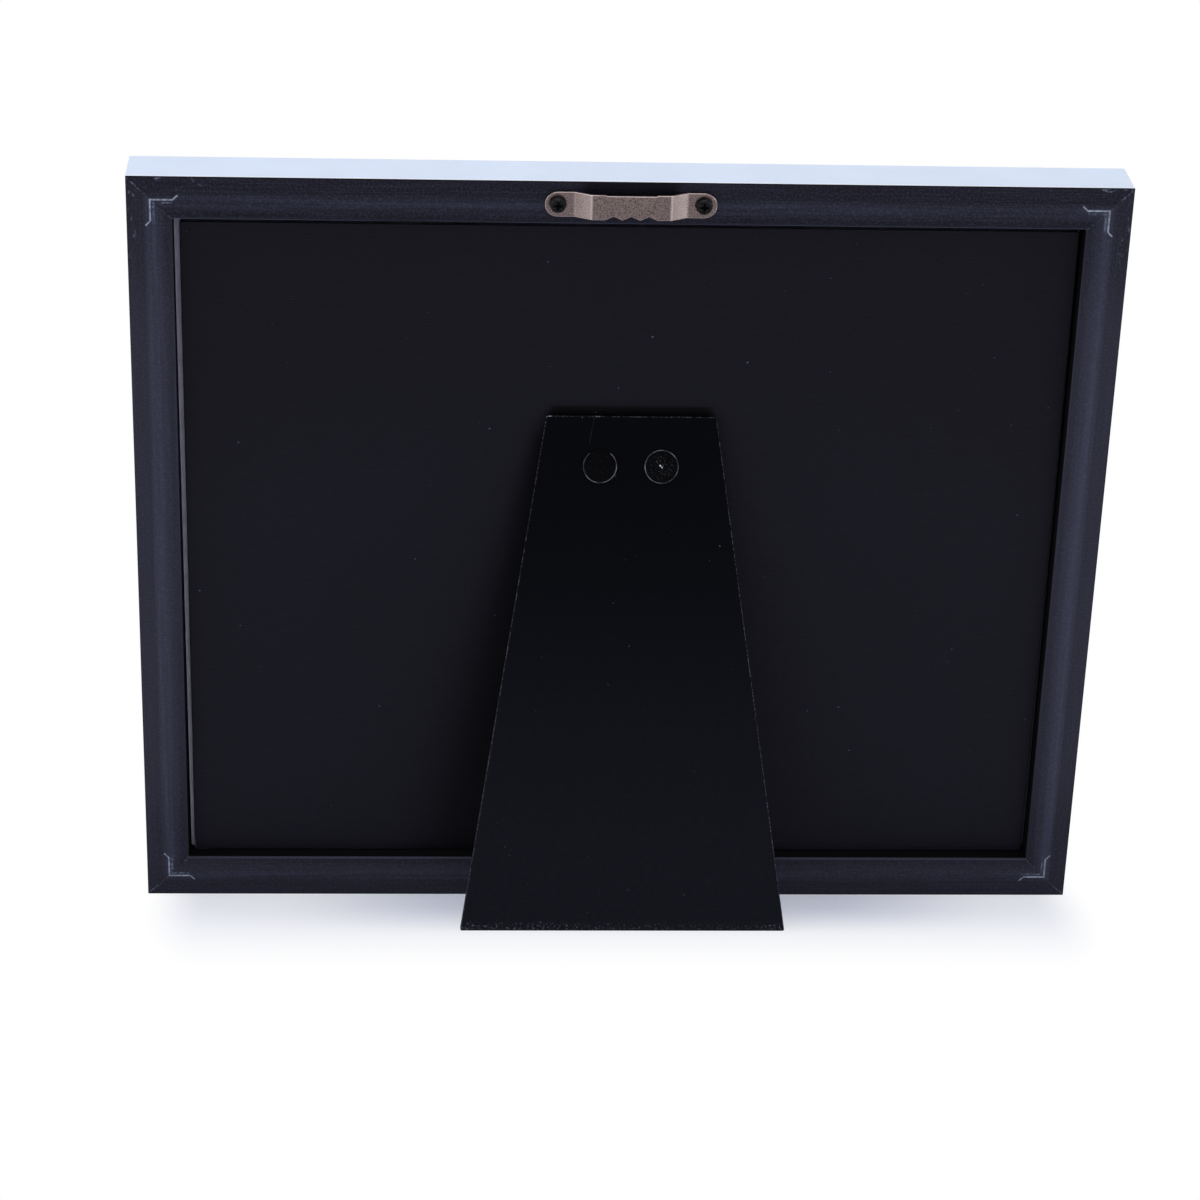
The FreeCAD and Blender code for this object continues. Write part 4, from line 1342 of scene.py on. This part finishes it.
def hinge_leaf(sizes, width, length, holes, knuckles, flip):
    """Leaf under the pin at the origin, rolled round it at the given (start, end) knuckles."""
    half = width / 2
    relief = abs(flip) + sizes.knuckle_gap
    corners = [(-half, -length, sizes.leaf_corner), (half, -length, sizes.leaf_corner)]
    marks = sorted([mark for pair in knuckles for mark in pair], reverse=True)
    if half - marks[0] > WELD:
        corners.append((half, -relief, 0))
    for index, mark in enumerate(marks):
        heights = (0,) if half - abs(mark) < WELD else ((0, -relief) if index % 2 else (-relief, 0))
        corners += [(mark, height, 0) for height in heights]
    if half + marks[-1] > WELD:
        corners.append((-half, -relief, 0))
    shape = sheet(corners, holes)
    bmesh.ops.translate(shape, verts=shape.verts[:], vec=(0, 0, flip))
    rolled = [edge for edge in shape.edges if all(abs(vert.co.y) < WELD for vert in edge.verts)]
    bmesh.ops.spin(
        shape, geom=rolled, cent=(0, 0, 0), axis=(1, 0, 0), dvec=(0, 0, 0),
        angle=-math.copysign(ROLL, flip), steps=ROLL_STEPS, use_merge=False)
    bmesh.ops.remove_doubles(shape, verts=shape.verts[:], dist=WELD)
    return ease(thicken(shape, sizes.leaf_sheet, flip), sizes.leaf_edge, 2)


class PHOTOFRAME_OT_hinge(bpy.types.Operator):
    """Builds the two rolled leaves of the strut's hinge, their pin and the board's rivets"""

    bl_idname = "photoframe.hinge"
    bl_label = "Hinge"

    def execute(self, context):
        sizes = context.scene.photoframe_strut
        steel = steel_finish("hinge_steel", sizes.steel_colour, 0.0)
        middle = sizes.knuckle_width / 2
        board_seat = PANEL @ Matrix.Translation(PIN)
        low, high = node_box("hinge_board_leaf", board_seat)
        half = (high.x - low.x) / 2
        outer = [(-half, -middle - sizes.knuckle_gap), (middle + sizes.knuckle_gap, half)]
        leaves = [
            ("hinge_board_leaf", "rolled_board_leaf", board_seat, "backing", "board_rivet_", outer, -1),
            ("hinge_leg_leaf", "rolled_leg_leaf", LEG_SEAT, "strut", "leg_rivet_", [(-middle, middle)], 1),
        ]
        for node, name, seat, body, prefix, knuckles, side in leaves:
            low, high = node_box(node, seat)
            holes = rivet_holes(prefix, seat, sizes.shank / 2 + sizes.hole_play)
            face = low.z if side < 0 else high.z
            shape = hinge_leaf(sizes, high.x - low.x, -low.y, holes, knuckles, face)
            piece(shape, name, seat, body, steel, [node])
        low, high = node_box("hinge_pin", board_seat)
        radius = (high.y - low.y) / 2
        pin = bmesh.new()
        bmesh.ops.create_cone(
            pin, cap_ends=True, segments=HOLE_STEPS, radius1=radius, radius2=radius, depth=high.x - low.x)
        ease(pin, radius * sizes.pin_round, 3)
        seat = board_seat @ Matrix.Rotation(math.pi / 2, 4, "Y")
        piece(pin, "hinge_wire", seat, "backing", steel, ["hinge_pin"])
        leaf_face = node_box("backing_board", PANEL)[1].z + sizes.leaf_sheet
        rivets(
            board_rivet, sizes, "board_rivet_", "board_stud_", PANEL, leaf_face, "backing",
            steel)
        return {"FINISHED"}


# Stage


def floor_finish(sizes):
    """Pale floor that keeps the shadow near the object and turns as white as the background."""
    middle, side_inset, side_pull = -0.003, 0.016, 4.0
    leg_middle, leg_reach, leg_distance, leg_share = -0.010, (0.115, 0.055), (0.045, 0.010), 0.32
    mottle_share, mottle_level, grain_share = 0.3, 0.97, 0.5
    finish = Finish("pale_floor", {"Roughness": 0.9, "Specular IOR Level": 0.1})
    place = finish.node("ShaderNodeTexCoord", {}, {}, 3)
    is_camera, is_glossy, is_through = finish.rays()
    x, y, _ = place.parts()
    beside = (abs(x - middle) - OUTER_WIDTH / 2 + side_inset).most(0.0) * side_pull
    distance = hypotenuse(beside, y - sizes.base_line)
    mottle = finish.noise(place, 35.0, 3.0, 0.6) * mottle_share
    base = finish.mix(mottle, sizes.floor_colour, darker(sizes.floor_colour, mottle_level))
    finish.surface(Base_Color=finish.mix(is_camera, sizes.bounce_colour, base))
    white_share = sizes.near_share + distance.fade(sizes.fade_start, sizes.fade_end) * (1 - sizes.near_share)
    by_leg = abs(x - leg_middle).fade(*leg_reach) * distance.fade(*leg_distance) * leg_share
    grain = finish.noise(place, 900.0, 3.0, 0.8).around(0.0, 1.0) * (1 - white_share) * grain_share
    seen = is_camera.most(is_through) * (white_share - by_leg + grain)
    mirrored = is_glossy * abs(x).fade(sizes.dark_reach, sizes.light_reach) * sizes.mirror_share
    white = finish.node("ShaderNodeEmission", {}, {"Color": opaque(WHITE), "Strength": 1.0})
    shader = Value(finish, finish.shader.outputs[0])
    mixed = finish.node("ShaderNodeMixShader", {}, [seen.most(mirrored), shader, white])
    output = finish.tree.nodes["Material Output"]
    finish.tree.links.new(mixed.socket, output.inputs["Surface"])
    return finish.material


def light_world(sizes):
    """White surroundings for the camera, and a level light for the object."""
    world = bpy.data.worlds.new("soft_studio")
    world.use_nodes = True
    bpy.context.scene.world = world
    nodes = Nodes(world.node_tree)
    background = world.node_tree.nodes["Background"]
    is_camera, is_glossy, is_through = nodes.rays()
    seen = is_camera.most(is_through).most(is_glossy)
    strength = sizes.world_level + seen * (1 - sizes.world_level)
    world.node_tree.links.new(strength.socket, background.inputs["Strength"])
    background.inputs["Color"].default_value = opaque(WHITE)


# Lamps: name, place, width and height, watts, tint, and whether gloss mirrors them
LAMP_AIM = (0, 0, 0.1)
LAMPS = [
    ("side_lamp_left", (1.75, 0.22, 0.6), (0.8, 1.0), 15.0, (0.94, 0.96, 1.0), True),
    ("side_lamp_right", (-1.8, 0.22, 0.6), (0.8, 1.0), 18.0, (0.94, 0.96, 1.0), True),
    ("front_lamp", (0.3, -1.9, 0.9), (1.2, 1.2), 6.0, (0.97, 0.98, 1.0), False),
    ("top_lamp", (0.2, 0.45, 1.8), (1.6, 1.2), 19.0, (0.95, 0.97, 1.0), True),
]

# Cells along each side of the floor, and the nearest that the camera sees, in metres
FLOOR_CELLS = 8
CLIP_START = 0.01


def lamp(name, place, spread, power, tint, is_mirrored):
    """Adds a soft rectangular lamp that points at the object."""
    light = bpy.data.lights.new(name, "AREA")
    light.shape = "RECTANGLE"
    light.size, light.size_y = spread
    light.energy = power
    light.color = tint
    made = bpy.data.objects.new(name, light)
    made.location = place
    made.rotation_euler = (Vector(LAMP_AIM) - Vector(place)).to_track_quat("-Z", "Y").to_euler()
    made.visible_glossy = is_mirrored
    bpy.context.scene.collection.objects.link(made)


class PHOTOFRAME_OT_stage(bpy.types.Operator):
    """Sets the pale floor, the soft light and the camera"""

    bl_idname = "photoframe.stage"
    bl_label = "Stage"

    def execute(self, context):
        sizes = context.scene.photoframe_stage
        shape = bmesh.new()
        cells = {"x_segments": FLOOR_CELLS, "y_segments": FLOOR_CELLS}
        bmesh.ops.create_grid(shape, size=sizes.floor_radius, **cells)
        mesh = bpy.data.meshes.new("pale_floor")
        shape.to_mesh(mesh)
        shape.free()
        mesh.materials.append(floor_finish(sizes))
        floor = bpy.data.objects.new("pale_floor", mesh)
        context.scene.collection.objects.link(floor)
        light_world(sizes)
        for row in LAMPS:
            lamp(*row)
        camera = bpy.data.cameras.new("camera")
        camera.lens = sizes.lens
        camera.clip_start = CLIP_START
        made = bpy.data.objects.new("camera", camera)
        made.location = sizes.camera_place
        made.rotation_euler = sizes.camera_turn
        context.scene.collection.objects.link(made)
        context.scene.camera = made
        context.scene.view_settings.view_transform = "Standard"
        return {"FINISHED"}


OPERATORS = [
    PHOTOFRAME_OT_rails,
    PHOTOFRAME_OT_foil,
    PHOTOFRAME_OT_nails,
    PHOTOFRAME_OT_hanger,
    PHOTOFRAME_OT_screws,
    PHOTOFRAME_OT_sheets,
    PHOTOFRAME_OT_board,
    PHOTOFRAME_OT_leg,
    PHOTOFRAME_OT_hinge,
    PHOTOFRAME_OT_rivets,
    PHOTOFRAME_OT_stage,
]


class PHOTOFRAME_PT_panel(bpy.types.Panel):
    """Lists the pieces of the photo frame and the settings they are built from"""

    bl_idname = "PHOTOFRAME_PT_panel"
    bl_label = "Photo Frame"
    bl_space_type = "VIEW_3D"
    bl_region_type = "UI"
    bl_category = "Photo Frame"

    def draw(self, context):
        for operator in OPERATORS:
            self.layout.operator(operator.bl_idname)
        for name, settings in SETTINGS.items():
            box = self.layout.box()
            box.label(text=settings.__doc__)
            for prop in settings.__annotations__:
                box.prop(getattr(context.scene, name), prop)


def register():
    """Registers the settings, the operators and the panel."""
    for name, settings in SETTINGS.items():
        bpy.utils.register_class(settings)
        setattr(bpy.types.Scene, name, bpy.props.PointerProperty(type=settings))
    for operator in OPERATORS:
        bpy.utils.register_class(operator)
    bpy.utils.register_class(PHOTOFRAME_PT_panel)


def unregister():
    """Takes the panel, the operators and the settings away again."""
    bpy.utils.unregister_class(PHOTOFRAME_PT_panel)
    for operator in reversed(OPERATORS):
        bpy.utils.unregister_class(operator)
    for name, settings in SETTINGS.items():
        delattr(bpy.types.Scene, name)
        bpy.utils.unregister_class(settings)


def main():
    register()
    for operator in OPERATORS:
        group, name = operator.bl_idname.split(".")
        getattr(getattr(bpy.ops, group), name)()
    bpy.context.view_layer.update()


if __name__ == "__main__":
    main()
